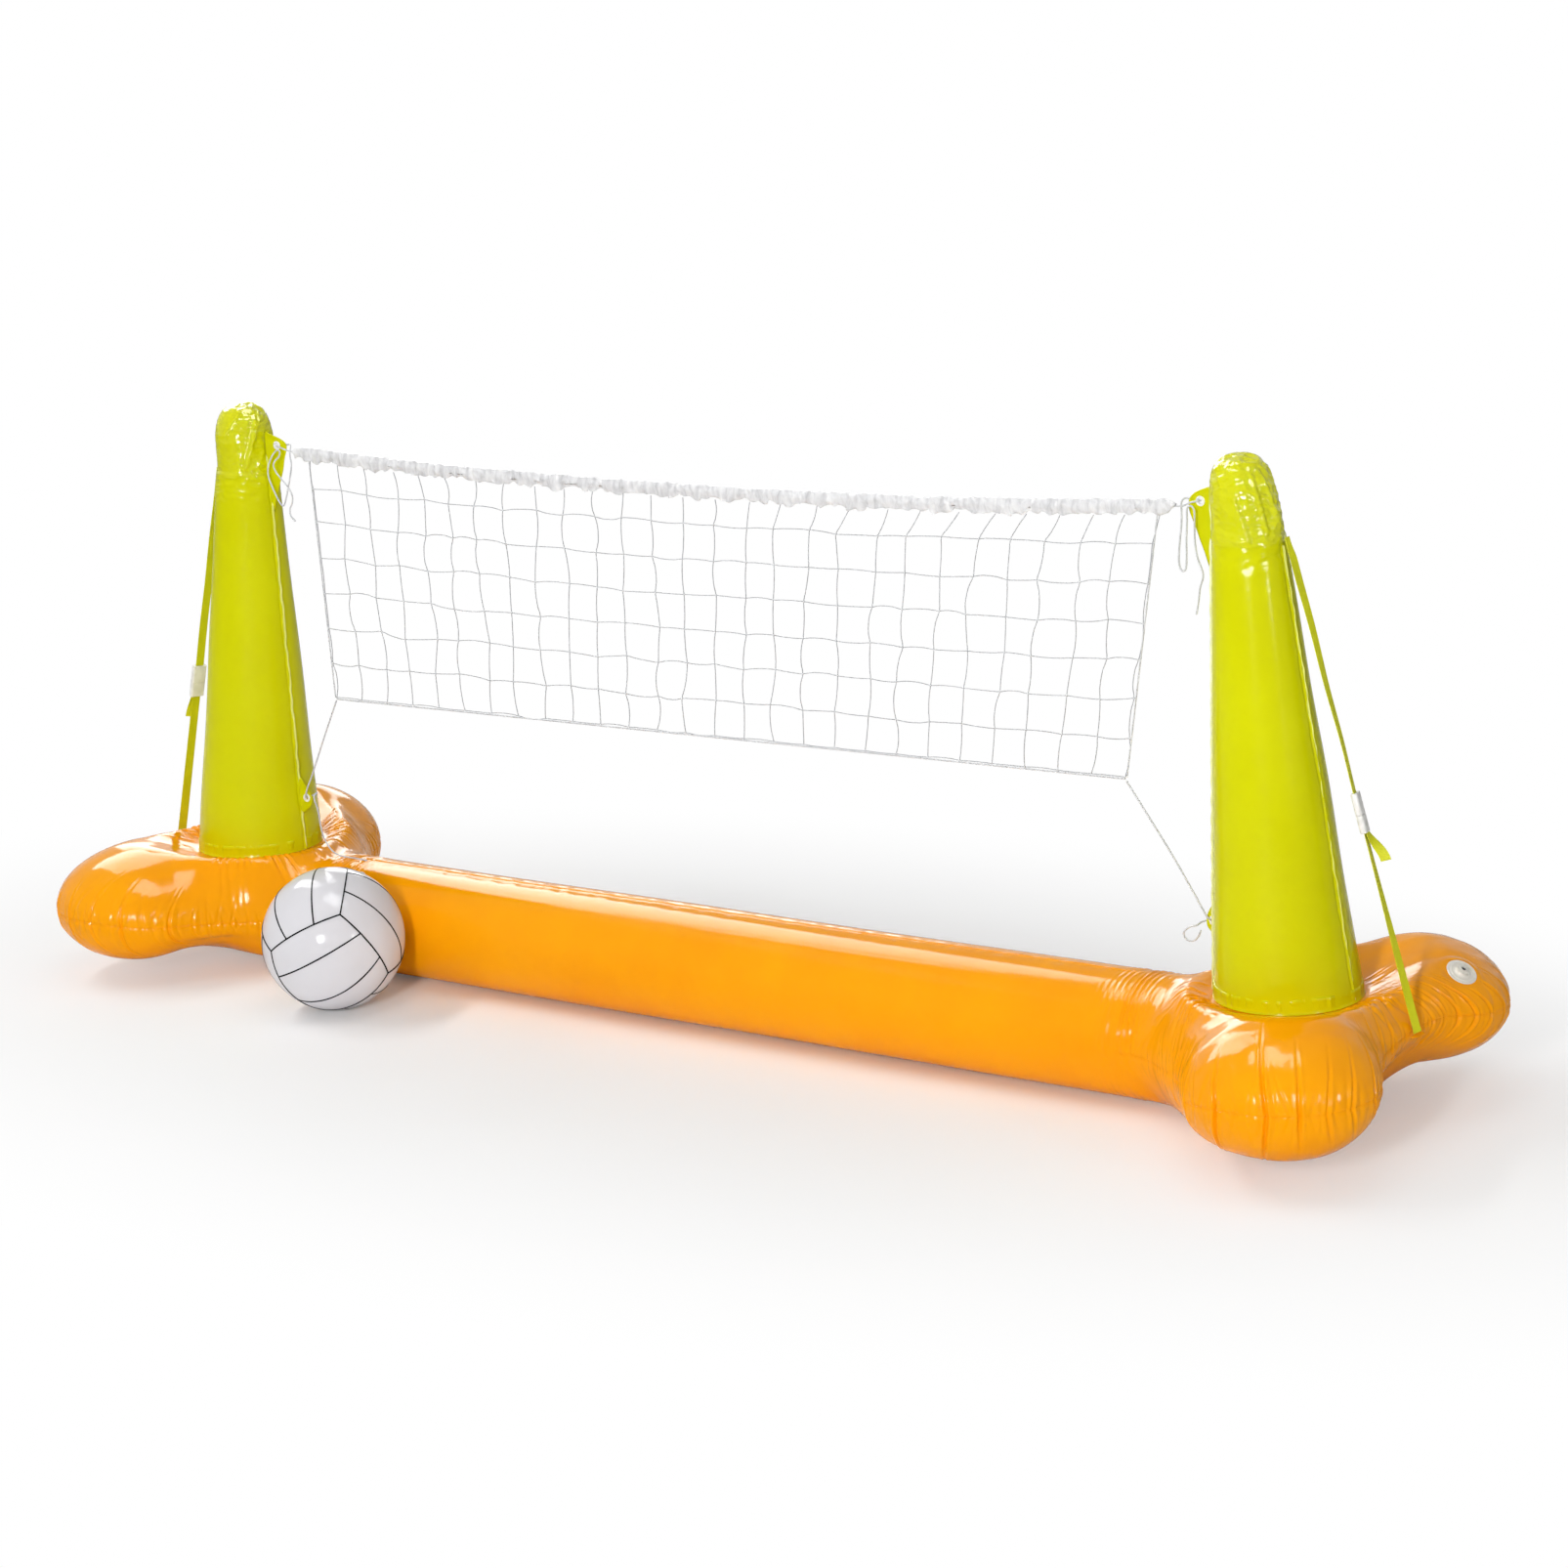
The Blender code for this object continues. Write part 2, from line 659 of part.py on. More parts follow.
def build_net_mesh(parent):
    """The strands as one lattice: a square at each knot and a bar to each neighbour."""
    half = STRAND / 2
    points = []
    for row in range(ROWS + 1):
        for column in range(COLUMNS + 1):
            x, z = net_point(column, row)
            corners = [(x - half, z - half), (x + half, z - half), (x + half, z + half), (x - half, z + half)]
            points += [(cx, y, cz) for y in (-half, half) for cx, cz in corners]

    def corner(column, row, index):
        return (row * (COLUMNS + 1) + column) * 8 + index

    faces = []
    for row in range(ROWS + 1):
        for column in range(COLUMNS + 1):
            own = [corner(column, row, i) for i in range(8)]
            faces += [tuple(own[:4]), tuple(own[4:])]
            sides = {
                (1, 0): ((1, 2), (0, 3)),
                (0, 1): ((0, 1), (3, 2)),
            }
            for (to_right, to_below), (near, far) in sides.items():
                if column + to_right <= COLUMNS and row + to_below <= ROWS:
                    a, b = (corner(column, row, i) for i in near)
                    c, d = (corner(column + to_right, row + to_below, i) for i in far)
                    faces += [(a, b, d, c), (a + 4, b + 4, d + 4, c + 4)]
                    faces += [(a, c, c + 4, a + 4), (b, d, d + 4, b + 4)]
            if column == 0:
                faces.append((own[0], own[3], own[7], own[4]))
            if column == COLUMNS:
                faces.append((own[1], own[2], own[6], own[5]))
            if row == 0:
                faces.append((own[2], own[3], own[7], own[6]))
            if row == ROWS:
                faces.append((own[0], own[1], own[5], own[4]))
    add_mesh("net_mesh", points, faces, parent, WHITE, 0.8, smooth=False)


def build_headband(parent):
    """A sleeve of thin tape round the top cord, open at both ends."""
    stations = 13
    right_half = [(0.0, 0.5), (0.44, 0.36), (0.5, 0.0), (0.44, -0.36)]
    rim = right_half + [(-a, -b) for a, b in right_half]
    rows = []
    for i in range(stations):
        x = band_x(i / (stations - 1))
        rows.append([(x, BAND_THICKNESS * a, band_z(x) + BAND_HEIGHT * b) for a, b in rim])
    outer = np.array(rows)
    inside = outer * np.array([1, 0, 1])
    inside[:, :, 2] = outer[:, :, 2].mean(axis=1, keepdims=True)
    add_film("headband", outer, parent, WHITE, inside, wrap=True)


def top_cord_end(side):
    """The cord in the headband comes a little way out of it."""
    return top_eyelet_x(side) - BAND_CLEAR + CORD_SHOWING


def build_border_cords(parent):
    spacing = STRAND / 2 + CORD_RADIUS + GAP
    count = 15
    rail = []
    for i in range(count):
        x = net_x(i / (count - 1), *(top_cord_end(side) for side in (-1, 1)))
        rail.append((x, 0.0, band_z(x)))
    add_cord("top_cord", rail, parent)
    bottom = [net_point(column, ROWS) for column in range(0, COLUMNS + 1, 3)]
    add_cord("bottom_cord", [(x, 0.0, z - spacing) for x, z in bottom], parent)
    for name, column, side in (("left", 0, -1), ("right", COLUMNS, 1)):
        edge = [net_point(column, row) for row in range(ROWS + 1)]
        lean = (edge[-1][0] - edge[0][0]) / (edge[0][1] - edge[-1][1])
        shift = spacing * math.hypot(1, lean)
        add_cord(f"{name}_side_cord", [(x + side * shift, 0.0, z) for x, z in edge], parent)


# Routes of the ties, as offsets from the middle of their eyelet. Each tie leaves the end of its cord, goes
# through the eyelet and round the ear's edge, and then hangs in a loop or a tail.
TOP_LEFT_ROUTE = [
    (0.0215, -0.0030, -0.0060),
    (0.0145, -0.0062, -0.0025),
    (0.0080, -0.0068, -0.0005),
    (0.0029, -0.0048, 0.0000),
    (0.0008, 0.0000, 0.0000),
    (0.0029, 0.0048, 0.0000),
    (0.0080, 0.0068, 0.0000),
    (0.0155, 0.0068, 0.0008),
    (0.0235, 0.0052, 0.0015),
    (0.0290, 0.0005, -0.0005),
    (0.0325, -0.0050, -0.0060),
    (0.0350, -0.0085, -0.0140),
    (0.0370, -0.0095, -0.0280),
    (0.0330, -0.0100, -0.0460),
    (0.0270, -0.0105, -0.0640),
    (0.0205, -0.0108, -0.0820),
    (0.0140, -0.0112, -0.0945),
    (0.0080, -0.0115, -0.0920),
    (0.0010, -0.0120, -0.0810),
    (-0.0080, -0.0125, -0.0620),
    (-0.0125, -0.0130, -0.0480),
    (-0.0110, -0.0132, -0.0340),
    (-0.0030, -0.0132, -0.0190),
    (0.0070, -0.0130, -0.0080),
    (0.0145, -0.0128, -0.0050),
    (0.0195, -0.0150, -0.0085),
    (0.0190, -0.0180, -0.0150),
    (0.0120, -0.0195, -0.0210),
    (0.0070, -0.0190, -0.0290),
    (0.0100, -0.0175, -0.0400),
    (0.0190, -0.0160, -0.0510),
    (0.0300, -0.0150, -0.0630),
    (0.0370, -0.0140, -0.0760),
    (0.0360, -0.0140, -0.0880),
    (0.0300, -0.0140, -0.0980),
    (0.0300, -0.0140, -0.1090),
    (0.0390, -0.0140, -0.1180),
]
TOP_RIGHT_ROUTE = [
    (-0.0215, -0.0030, -0.0060),
    (-0.0145, -0.0062, -0.0025),
    (-0.0080, -0.0068, -0.0005),
    (-0.0029, -0.0048, 0.0000),
    (-0.0008, 0.0000, 0.0000),
    (-0.0029, 0.0048, 0.0000),
    (-0.0080, 0.0068, 0.0000),
    (-0.0155, 0.0068, 0.0008),
    (-0.0225, 0.0048, 0.0018),
    (-0.0265, 0.0000, 0.0010),
    (-0.0265, -0.0055, -0.0040),
    (-0.0250, -0.0080, -0.0120),
    (-0.0255, -0.0085, -0.0300),
    (-0.0290, -0.0085, -0.0550),
    (-0.0315, -0.0085, -0.0780),
    (-0.0300, -0.0085, -0.0900),
    (-0.0252, -0.0088, -0.0950),
    (-0.0205, -0.0090, -0.0900),
    (-0.0190, -0.0092, -0.0750),
    (-0.0180, -0.0095, -0.0500),
    (-0.0160, -0.0100, -0.0250),
    (-0.0150, -0.0112, -0.0120),
    (-0.0125, -0.0120, -0.0065),
    (-0.0080, -0.0122, -0.0050),
    (-0.0042, -0.0122, -0.0085),
    (-0.0030, -0.0120, -0.0160),
    (-0.0040, -0.0115, -0.0350),
    (-0.0040, -0.0112, -0.0550),
    (-0.0010, -0.0110, -0.0750),
    (0.0050, -0.0110, -0.0900),
    (0.0065, -0.0110, -0.1000),
    (0.0015, -0.0110, -0.1150),
    (-0.0015, -0.0110, -0.1320),
    (-0.0055, -0.0110, -0.1520),
]
BOTTOM_LEFT_ROUTE = [
    (0.0500, -0.0020, 0.1000),
    (0.0230, -0.0050, 0.0440),
    (0.0110, -0.0075, 0.0200),
    (0.0050, -0.0070, 0.0070),
    (0.0022, -0.0045, 0.0020),
    (0.0012, 0.0000, 0.0004),
    (0.0022, 0.0045, 0.0010),
    (0.0065, 0.0070, 0.0030),
    (0.0135, 0.0068, 0.0060),
    (0.0200, 0.0040, 0.0090),
    (0.0235, -0.0020, 0.0100),
    (0.0245, -0.0080, 0.0070),
    (0.0275, -0.0110, 0.0005),
    (0.0315, -0.0110, -0.0100),
    (0.0345, -0.0110, -0.0250),
    (0.0360, -0.0110, -0.0420),
    (0.0410, -0.0110, -0.0600),
    (0.0500, -0.0110, -0.0740),
    (0.0620, -0.0115, -0.0832),
    (0.0760, -0.0118, -0.0866),
    (0.0900, -0.0120, -0.0872),
    (0.1040, -0.0120, -0.0874),
    (0.1180, -0.0115, -0.0878),
    (0.1320, -0.0110, -0.0884),
]
BOTTOM_RIGHT_ROUTE = [
    (-0.0650, -0.0020, 0.0930),
    (-0.0290, -0.0050, 0.0410),
    (-0.0130, -0.0075, 0.0180),
    (-0.0055, -0.0070, 0.0065),
    (-0.0024, -0.0045, 0.0018),
    (-0.0012, 0.0000, 0.0004),
    (-0.0024, 0.0045, -0.0005),
    (-0.0070, 0.0070, -0.0015),
    (-0.0135, 0.0066, -0.0030),
    (-0.0190, 0.0030, -0.0045),
    (-0.0208, -0.0030, -0.0060),
    (-0.0225, -0.0080, -0.0075),
    (-0.0280, -0.0105, -0.0088),
    (-0.0345, -0.0110, -0.0118),
    (-0.0400, -0.0110, -0.0168),
    (-0.0412, -0.0110, -0.0228),
    (-0.0375, -0.0110, -0.0280),
    (-0.0305, -0.0110, -0.0300),
    (-0.0235, -0.0115, -0.0275),
    (-0.0170, -0.0120, -0.0205),
    (-0.0130, -0.0130, -0.0120),
]


def build_ties(parent):
    """The four ties that hold the net's corners to the eyelets."""
    step = 2 * 2 * CORD_RADIUS
    clear = 2 * CORD_RADIUS + GAP
    high = {"left": TOP_LEFT_ROUTE, "right": TOP_RIGHT_ROUTE}
    low = {"left": BOTTOM_LEFT_ROUTE, "right": BOTTOM_RIGHT_ROUTE}
    for name, side in SIDES.items():
        eyelet = Vector((side * top_eyelet_x(side), 0, EYELET_Z))
        cord_end = top_cord_end(side)
        start = Vector((side * (cord_end + 4 * GAP), 0.0, band_z(cord_end)))
        route = [start] + [eyelet + Vector(p) for p in high[name]]
        add_cord(f"top_{name}_tie", smooth_route(route, step), parent)
        eyelet = Vector((side * low_eyelet_x(side), 0, LOW_EYELET_Z))
        column = 0 if side < 0 else COLUMNS
        x, z = net_point(column, ROWS)
        corner = Vector((x + side * (CORD_RADIUS + GAP), 0.0, z - STRAND / 2 - clear - CORD_RADIUS))
        route = [corner] + [eyelet + Vector(p) for p in low[name]]
        add_cord(f"bottom_{name}_tie", smooth_route(route, step), parent)


def strap_ends(side):
    """The strap's ends: beside the crown's foot, and over the tab at the notch, as seen from the right."""
    top = Vector((outer_side(side, CROWN_Z) + STRAP_TOP_OFFSET, 0, CROWN_Z + STRAP_TOP_RISE))
    notch = POST_X + reach(0.0)
    foot = Vector((notch + TAB_REACH / 2, 0, float(seam_height(notch, 0.0)) + TAB_THICKNESS))
    return top, foot


def strap_frame(side, distance, twist):
    """Placement at a distance down the strap: X across the webbing, Y out of its face, Z up the strap."""
    top, foot = strap_ends(side)
    down = (foot - top).normalized()
    outward = Vector((-down.z, 0, down.x))
    across = outward * math.cos(twist) + Vector((0, 1, 0)) * math.sin(twist)
    face = across.cross(down)
    place = top + down * distance
    rows = [
        (side * across.x, side * face.x, side * -down.x, side * place.x),
        (across.y, face.y, -down.y, place.y),
        (across.z, face.z, -down.z, place.z),
        (0, 0, 0, 1),
    ]
    return Matrix(rows)


def add_ribbon(name, frames, parent, colour=LIME, width=WEBBING_WIDTH):
    """Webbing through a list of placements, each with X across it and Y out of its face.

    Where the webbing twists, both of its faces fold along the same diagonal and so stay apart.
    """
    points = []
    for frame in frames:
        for x, y in ((-0.5, -0.5), (0.5, -0.5), (0.5, 0.5), (-0.5, 0.5)):
            points.append(frame @ Vector((x * width, y * WEBBING_THICKNESS, 0)))
    faces = [(0, 1, 2, 3)]
    for i in range(len(frames) - 1):
        for k in range(4):
            a = 4 * i + k
            b = 4 * i + (k + 1) % 4
            if k == 2:
                faces += [(a, b, a + 4), (b, b + 4, a + 4)]
            else:
                faces += [(a, b, b + 4), (a, b + 4, a + 4)]
    last = 4 * (len(frames) - 1)
    faces.append((last + 3, last + 2, last + 1, last))
    return add_mesh(name, points, faces, parent, colour, smooth=False)


def add_loops(name, levels, parent, colour, placement):
    """A body lofted through closed rings that each list (x, y, z) points, capped at both ends."""
    count = len(levels[0])
    points = [placement @ Vector(p) for ring in levels for p in ring]
    faces = [tuple(range(count))]
    for i in range(len(levels) - 1):
        for k in range(count):
            a = i * count + k
            b = i * count + (k + 1) % count
            faces.append((a, b, b + count, a + count))
    faces.append(tuple(reversed(range((len(levels) - 1) * count, len(levels) * count))))
    return add_mesh(name, points, faces, parent, colour, smooth=False)


def add_prism(name, points, parent, colour):
    """A plate from the points round one face, followed by the same points on the other face."""
    count = len(points) // 2
    faces = [tuple(range(count)), tuple(range(count, 2 * count))]
    faces += [(k, (k + 1) % count, (k + 1) % count + count, k + count) for k in range(count)]
    return add_mesh(name, points, faces, parent, colour, smooth=False)


def cut(target, low, high, placement):
    """Cuts a box out of a piece."""
    cutter = add_box(target.name + "_cutter", low, high, target.parent, CLEAR, placement)
    cutter.hide_render = True
    cutter.display_type = "WIRE"
    modifier = target.modifiers.new(cutter.name, "BOOLEAN")
    modifier.operation = "DIFFERENCE"
    modifier.solver = "EXACT"
    modifier.object = cutter


def buckle_outline(width, thickness):
    """A rectangle with cut corners, for a moulded part's section."""
    w, t = width / 2, thickness / 2
    c = BUCKLE_CHAMFER
    lower = [(-w, -t + c), (-w + c, -t), (w - c, -t), (w, -t + c)]
    return lower + [(-x, -y) for x, y in lower]


def build_buckle(name, side, parent):
    """The socket hangs on the upper webbing. The half with the prongs slides down along the lower one."""
    top = strap_frame(side, BUCKLE_START, BUCKLE_TWIST)
    outer = buckle_outline(BUCKLE_WIDTH, BUCKLE_THICKNESS)
    rings = [[(x, y, z) for x, y in outer] for z in (0.0, -SOCKET_LENGTH)]
    socket = add_loops(f"{name}_buckle_socket", rings, parent, CLEAR, top)
    room_x = BUCKLE_WIDTH / 2 - BUCKLE_WALL
    room_y = BUCKLE_THICKNESS / 2 - BUCKLE_WALL
    past = 0.001
    cut(socket, (-room_x, -room_y, -SOCKET_LENGTH - past), (room_x, room_y, -BUCKLE_HEAD), top)
    slot = WEBBING_WIDTH / 2 + GAP
    slot_y = SOCKET_SLOT / 2
    cut(socket, (-slot, -slot_y, -BUCKLE_HEAD - past), (slot, slot_y, past), top)

    start = -SOCKET_LENGTH - GAP
    prong_root = start - PRONG_BASE_LENGTH
    base = [[(x, y, z) for x, y in outer] for z in (start, prong_root)]
    sliding = add_empty(f"{name}_buckle_slide")
    sliding.parent = parent
    half = add_loops(f"{name}_buckle_prongs", base, sliding, CLEAR, top)
    passage_y = PRONG_SLOT / 2
    cut(half, (-slot, -passage_y, prong_root - past), (slot, passage_y, start + past), top)
    prong_y = room_y - GAP
    prong_x = room_x - GAP
    for across in (-1, 1):
        outer_x = across * prong_x
        inner_x = across * (slot + GAP)
        low = (min(outer_x, inner_x), -prong_y, start - 2 * past)
        high = (max(outer_x, inner_x), prong_y, start + PRONG_LENGTH)
        prong = add_box(f"{name}_prong_{'a' if across < 0 else 'b'}", low, high, sliding, CLEAR, top)
        prong.hide_render = True
        prong.display_type = "WIRE"
        modifier = half.modifiers.new(prong.name, "BOOLEAN")
        modifier.operation = "UNION"
        modifier.solver = "EXACT"
        modifier.object = prong
    return sliding, top, prong_root


def build_strap_mounts(name, side, parent):
    """The tab welded to the post's outer seam, and the tab that the base's seam carries at the notch."""
    low_z = CROWN_Z - ANCHOR_DROP
    top_z = CROWN_Z + ANCHOR_RISE
    outline = [
        (outer_side(side, low_z) + GAP, low_z),
        (outer_side(side, low_z) + ANCHOR_REACH, low_z),
        (outer_side(side, CROWN_Z) + ANCHOR_REACH * 0.8, CROWN_Z + STRAP_TOP_RISE),
        (outer_side(side, top_z) + 2 * GAP, top_z),
    ]
    outline += [(outer_side(side, z) + 3 * GAP, z) for z in crown_corners() if z < top_z]
    half = WEBBING_THICKNESS / 2
    points = [(side * x, y, z) for y in (-half, half) for x, z in outline]
    add_prism(f"{name}_strap_anchor", points, parent, LIME)
    rim = []
    for i in range(9):
        y = TAB_HALF_WIDTH * (i / 4 - 1)
        near, far = HUB_TO_NOTCH * 0.5, HUB_TO_NOTCH * 1.5
        for _ in range(30):
            middle = (near + far) / 2
            near, far = (middle, far) if fullness(POST_X + middle, y) > 0 else (near, middle)
        rim.append((POST_X + near + 4 * GAP, y))
    tip_x = POST_X + reach(0.0) + TAB_REACH
    tip_y = TAB_HALF_WIDTH * 0.7
    rim += [(tip_x, tip_y), (tip_x, -tip_y)]
    half = TAB_THICKNESS / 2
    points = [(side * x, y, float(seam_height(x, y)) + z) for z in (-half, half) for x, y in rim]
    add_prism(f"{name}_strap_tab", points, parent, ORANGE)


def build_strap(name, side, parent):
    top_point, foot_point = strap_ends(side)
    length = (foot_point - top_point).length
    sliding, buckle, prong_root = build_buckle(name, side, parent)
    build_strap_mounts(name, side, parent)
    anchor_reach = ANCHOR_DROP + STRAP_TOP_RISE + WEBBING_WIDTH / 5
    frames = []
    stations = 11
    last = BUCKLE_START + BUCKLE_HEAD * 0.7
    for i in range(stations):
        distance = anchor_reach + (last - anchor_reach) * i / (stations - 1)
        share = smooth_step(distance / BUCKLE_START)
        frames.append(strap_frame(side, distance, BUCKLE_TWIST * share))
    add_ribbon(f"{name}_strap_upper", frames, parent)

    lower_start = BUCKLE_START + SOCKET_LENGTH + PRONG_BASE_LENGTH / 3
    past_buckle = lower_start + PRONG_BASE_LENGTH
    last = length - STRAP_TOE
    frames = []
    stations = 13
    for i in range(stations):
        distance = lower_start + (last - lower_start) * i / (stations - 1)
        share = smooth_step((distance - past_buckle) / (length - past_buckle))
        frames.append(strap_frame(side, distance, BUCKLE_TWIST + (math.pi / 2 - BUCKLE_TWIST) * share))
    add_ribbon(f"{name}_strap_lower", frames, parent)

    tail_frames = []
    for i in range(6):
        share = i / 5
        tilt = TAIL_TILT[0] + (TAIL_TILT[1] - TAIL_TILT[0]) * share
        swing = Matrix.Rotation(tilt, 4, "X")
        lift = BUCKLE_THICKNESS / 2 - WEBBING_THICKNESS - TAIL_SEAT + TAIL_SWING * share
        drop = prong_root - 3 * GAP - TAIL_LENGTH * share
        tail_frames.append(buckle @ Matrix.Translation((0, lift, drop)) @ swing)
    add_ribbon(f"{name}_strap_tail", tail_frames, sliding)


def add_valve(prefix, placement, parent, size, hinge_name):
    """A welded flange with a short stem, and a hinged plug over the stem. Local Z points out of the skin."""
    flange = [
        (VALVE_BORE * size, GAP),
        (VALVE_RADIUS * size, GAP),
        (VALVE_RADIUS * size, GAP + VALVE_FLANGE * 0.5),
        (VALVE_STEM_RADIUS * size, GAP + VALVE_FLANGE),
        (VALVE_STEM_RADIUS * size, VALVE_STEM_HEIGHT * size + VALVE_FLANGE),
        (VALVE_BORE * size, VALVE_STEM_HEIGHT * size + VALVE_FLANGE),
    ]
    add_turned(f"{prefix}_flange", flange, 16, parent, CLEAR, placement)
    seat = VALVE_STEM_HEIGHT * size + VALVE_FLANGE + GAP
    hinge_x = -VALVE_HINGE_REACH * size
    hinge = add_empty(hinge_name, placement @ Vector((hinge_x, 0, seat)))
    hinge.parent = parent
    local = Matrix.Translation(-hinge.location) @ placement
    plug = [
        (0.0, -PLUG_DEPTH * size + seat),
        (VALVE_BORE * 0.8 * size, -PLUG_DEPTH * size + seat),
        (VALVE_BORE * 0.8 * size, seat),
        (PLUG_RADIUS * size, seat),
        (PLUG_RADIUS * size, seat + PLUG_HEIGHT * size * 0.6),
        (PLUG_RADIUS * 0.7 * size, seat + PLUG_HEIGHT * size),
        (0.0, seat + PLUG_HEIGHT * size),
    ]
    add_turned(f"{prefix}_plug", plug, 12, hinge, CLEAR, local)


def surface_frame(point, normal, along):
    """Placement at a point of the skin, with Z along its normal and X near the direction given."""
    z = Vector(normal).normalized()
    x = (Vector(along) - z * Vector(along).dot(z)).normalized()
    y = z.cross(x)
    return Matrix.Translation(point) @ Matrix((x, y, z)).transposed().to_4x4()


def build_valves(parent):
    """Valves: the base's on the right end's back lobe, and each post's on its back side."""
    x, y = LOBE_X + VALVE_OFFSET[0], LOBE_Y + VALVE_OFFSET[1]
    step = 0.002

    def top(px, py):
        return float(seam_height(px, py)) + half_height(px, py)

    slope_x = (top(x + step, y) - top(x - step, y)) / (2 * step)
    slope_y = (top(x, y + step) - top(x, y - step)) / (2 * step)
    placement = surface_frame((x, y, top(x, y)), (-slope_x, -slope_y, 1), (-1, 0, 0))
    placement = placement @ Matrix.Translation((0, 0, VALVE_STANDOFF))
    add_valve("base_valve", placement, parent, 1.0, "base_valve_hinge")
    z = POST_FOOT_Z + POST_VALVE_RISE
    slope = math.atan2(POST_FOOT_RADIUS - POST_TOP_RADIUS, CROWN_Z - POST_FOOT_Z)
    for name, side in SIDES.items():
        point = (side * post_axis(side, z), post_radius(z), z)
        placement = surface_frame(point, (0, math.cos(slope), math.sin(slope)), (0, 0, 1))
        add_valve(f"{name}_post_valve", placement, parent, 1.0, f"{name}_post_valve_hinge")


def build_ball():
    """A thin sphere that lies against the beam, turned so that one of its rings meets the beam."""
    spread = BALL_RADIUS + BEAM_RADIUS + GAP
    rise = BALL_RADIUS - AXIS_Z
    centre = Vector((BALL_X, -math.sqrt(spread**2 - rise**2), BALL_RADIUS))
    ball = add_empty("ball", centre)
    rings = 11
    segments = 20
    opening = VALVE_BORE * SMALL_VALVE_SCALE / BALL_RADIUS
    polars = [opening + (math.pi - opening) * i / (rings - 1) for i in range(rings)]
    contact = math.pi / 2 + math.asin(rise / spread)
    tilt = Matrix.Rotation(polars[3] - contact, 4, "X")
    rows = []
    for polar in polars:
        row = []
        for k in range(segments):
            angle = 2 * math.pi * k / segments
            radius = BALL_RADIUS * math.sin(polar)
            height = BALL_RADIUS * math.cos(polar)
            row.append(tilt @ Vector((radius * math.cos(angle), radius * math.sin(angle), height)))
        rows.append(row)
    add_film("ball_skin", np.array(rows), ball, WHITE, (0, 0, 0), wrap=True, closed_end=True)
    pole = tilt @ Vector((0, 0, BALL_RADIUS))
    placement = surface_frame(pole, pole, (1, 0, 0))
    add_valve("ball_valve", placement, ball, SMALL_VALVE_SCALE, "ball_valve_hinge")


def main():
    for obj in list(bpy.data.objects):
        bpy.data.objects.remove(obj, do_unlink=True)
    root = add_empty("net_set")
    build_base(root)
    for name, side in SIDES.items():
        build_post(name, side, root)
        build_ears(name, side, root)
        build_strap(name, side, root)
    build_net_mesh(root)
    build_headband(root)
    build_border_cords(root)
    build_ties(root)
    build_valves(root)
    build_ball()


main()
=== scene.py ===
"""The looks of an inflatable volleyball net for a pool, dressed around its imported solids.

Metres, +Z up. X runs along the beam from the left post to the right one, -Y is the front.
"""

import json
import random
from math import atan2, cos, exp, hypot, pi, radians, sin, sqrt

import bmesh
import bpy
import numpy as np
from mathutils import Matrix, Vector, noise


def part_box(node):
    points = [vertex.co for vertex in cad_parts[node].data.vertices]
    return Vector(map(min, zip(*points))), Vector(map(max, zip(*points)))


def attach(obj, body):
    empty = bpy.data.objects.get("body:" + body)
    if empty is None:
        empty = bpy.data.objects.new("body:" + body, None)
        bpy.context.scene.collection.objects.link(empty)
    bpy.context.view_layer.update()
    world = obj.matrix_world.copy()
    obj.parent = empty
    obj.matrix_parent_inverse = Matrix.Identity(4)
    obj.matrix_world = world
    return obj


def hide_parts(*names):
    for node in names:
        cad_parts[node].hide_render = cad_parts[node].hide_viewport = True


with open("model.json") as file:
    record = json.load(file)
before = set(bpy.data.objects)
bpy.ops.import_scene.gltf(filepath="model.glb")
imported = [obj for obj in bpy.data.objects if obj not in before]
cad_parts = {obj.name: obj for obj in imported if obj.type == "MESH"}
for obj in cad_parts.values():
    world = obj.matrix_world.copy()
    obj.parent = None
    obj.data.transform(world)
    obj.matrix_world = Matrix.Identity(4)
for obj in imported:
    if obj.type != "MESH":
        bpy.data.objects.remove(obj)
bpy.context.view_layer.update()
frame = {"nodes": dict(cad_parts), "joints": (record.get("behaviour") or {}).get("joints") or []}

# Sizes of the solids, which the finer surfaces follow
LENGTH = 2.39
WIDTH = 0.64
HEIGHT = 0.91
GAP = 0.0003
BEAM_RADIUS = 0.09
BEAM_SQUASH = 0.002
LOBE_RADIUS = 0.138
LOBE_FLATNESS = 0.7
LOBE_RISE = 0.034
NOTCH_RISE = 0.026
NOTCH_SPREAD = 0.09
NOTCH_PINCH = 0.48
NOTCH_PINCH_SPREAD = 0.045
LOBE_BLEND = 0.017
NECK_BLEND = 0.009
UNDERSIDE_SAG = 0.14
NECK_LENGTH = 0.228
POST_INSET = 0.2325
POST_FOOT_RADIUS = 0.101
POST_FOOT_Z = 0.18
POST_LEAN = {-1: 0.057, 1: 0.046}
POST_TOP_RADIUS = 0.05
CROWN_RADIUS = 0.0455
CROWN_HEIGHT = 0.11
FOOT_BAND_HEIGHT = 0.019
SEAT_MARGIN = 0.006
DISH_SLOPE = 0.35
EYELET_DROP = 0.062
EYELET_REACH = 0.024
EAR_RISE = 0.024
EAR_FALL = 0.114
LOW_EYELET_Z = 0.268
LOW_EYELET_REACH = 0.014
LOW_EAR_RISE = 0.04
LOW_EAR_FALL = 0.03
CORD_RADIUS = 0.0014
STRAND = 0.002
COLUMNS = 27
ROWS = 7
BAND_CLEAR = 0.038
BAND_HEIGHT = 0.02
BAND_SAG = 0.0215
BAND_DROP = 0.0085
CORD_SHOWING = 0.008
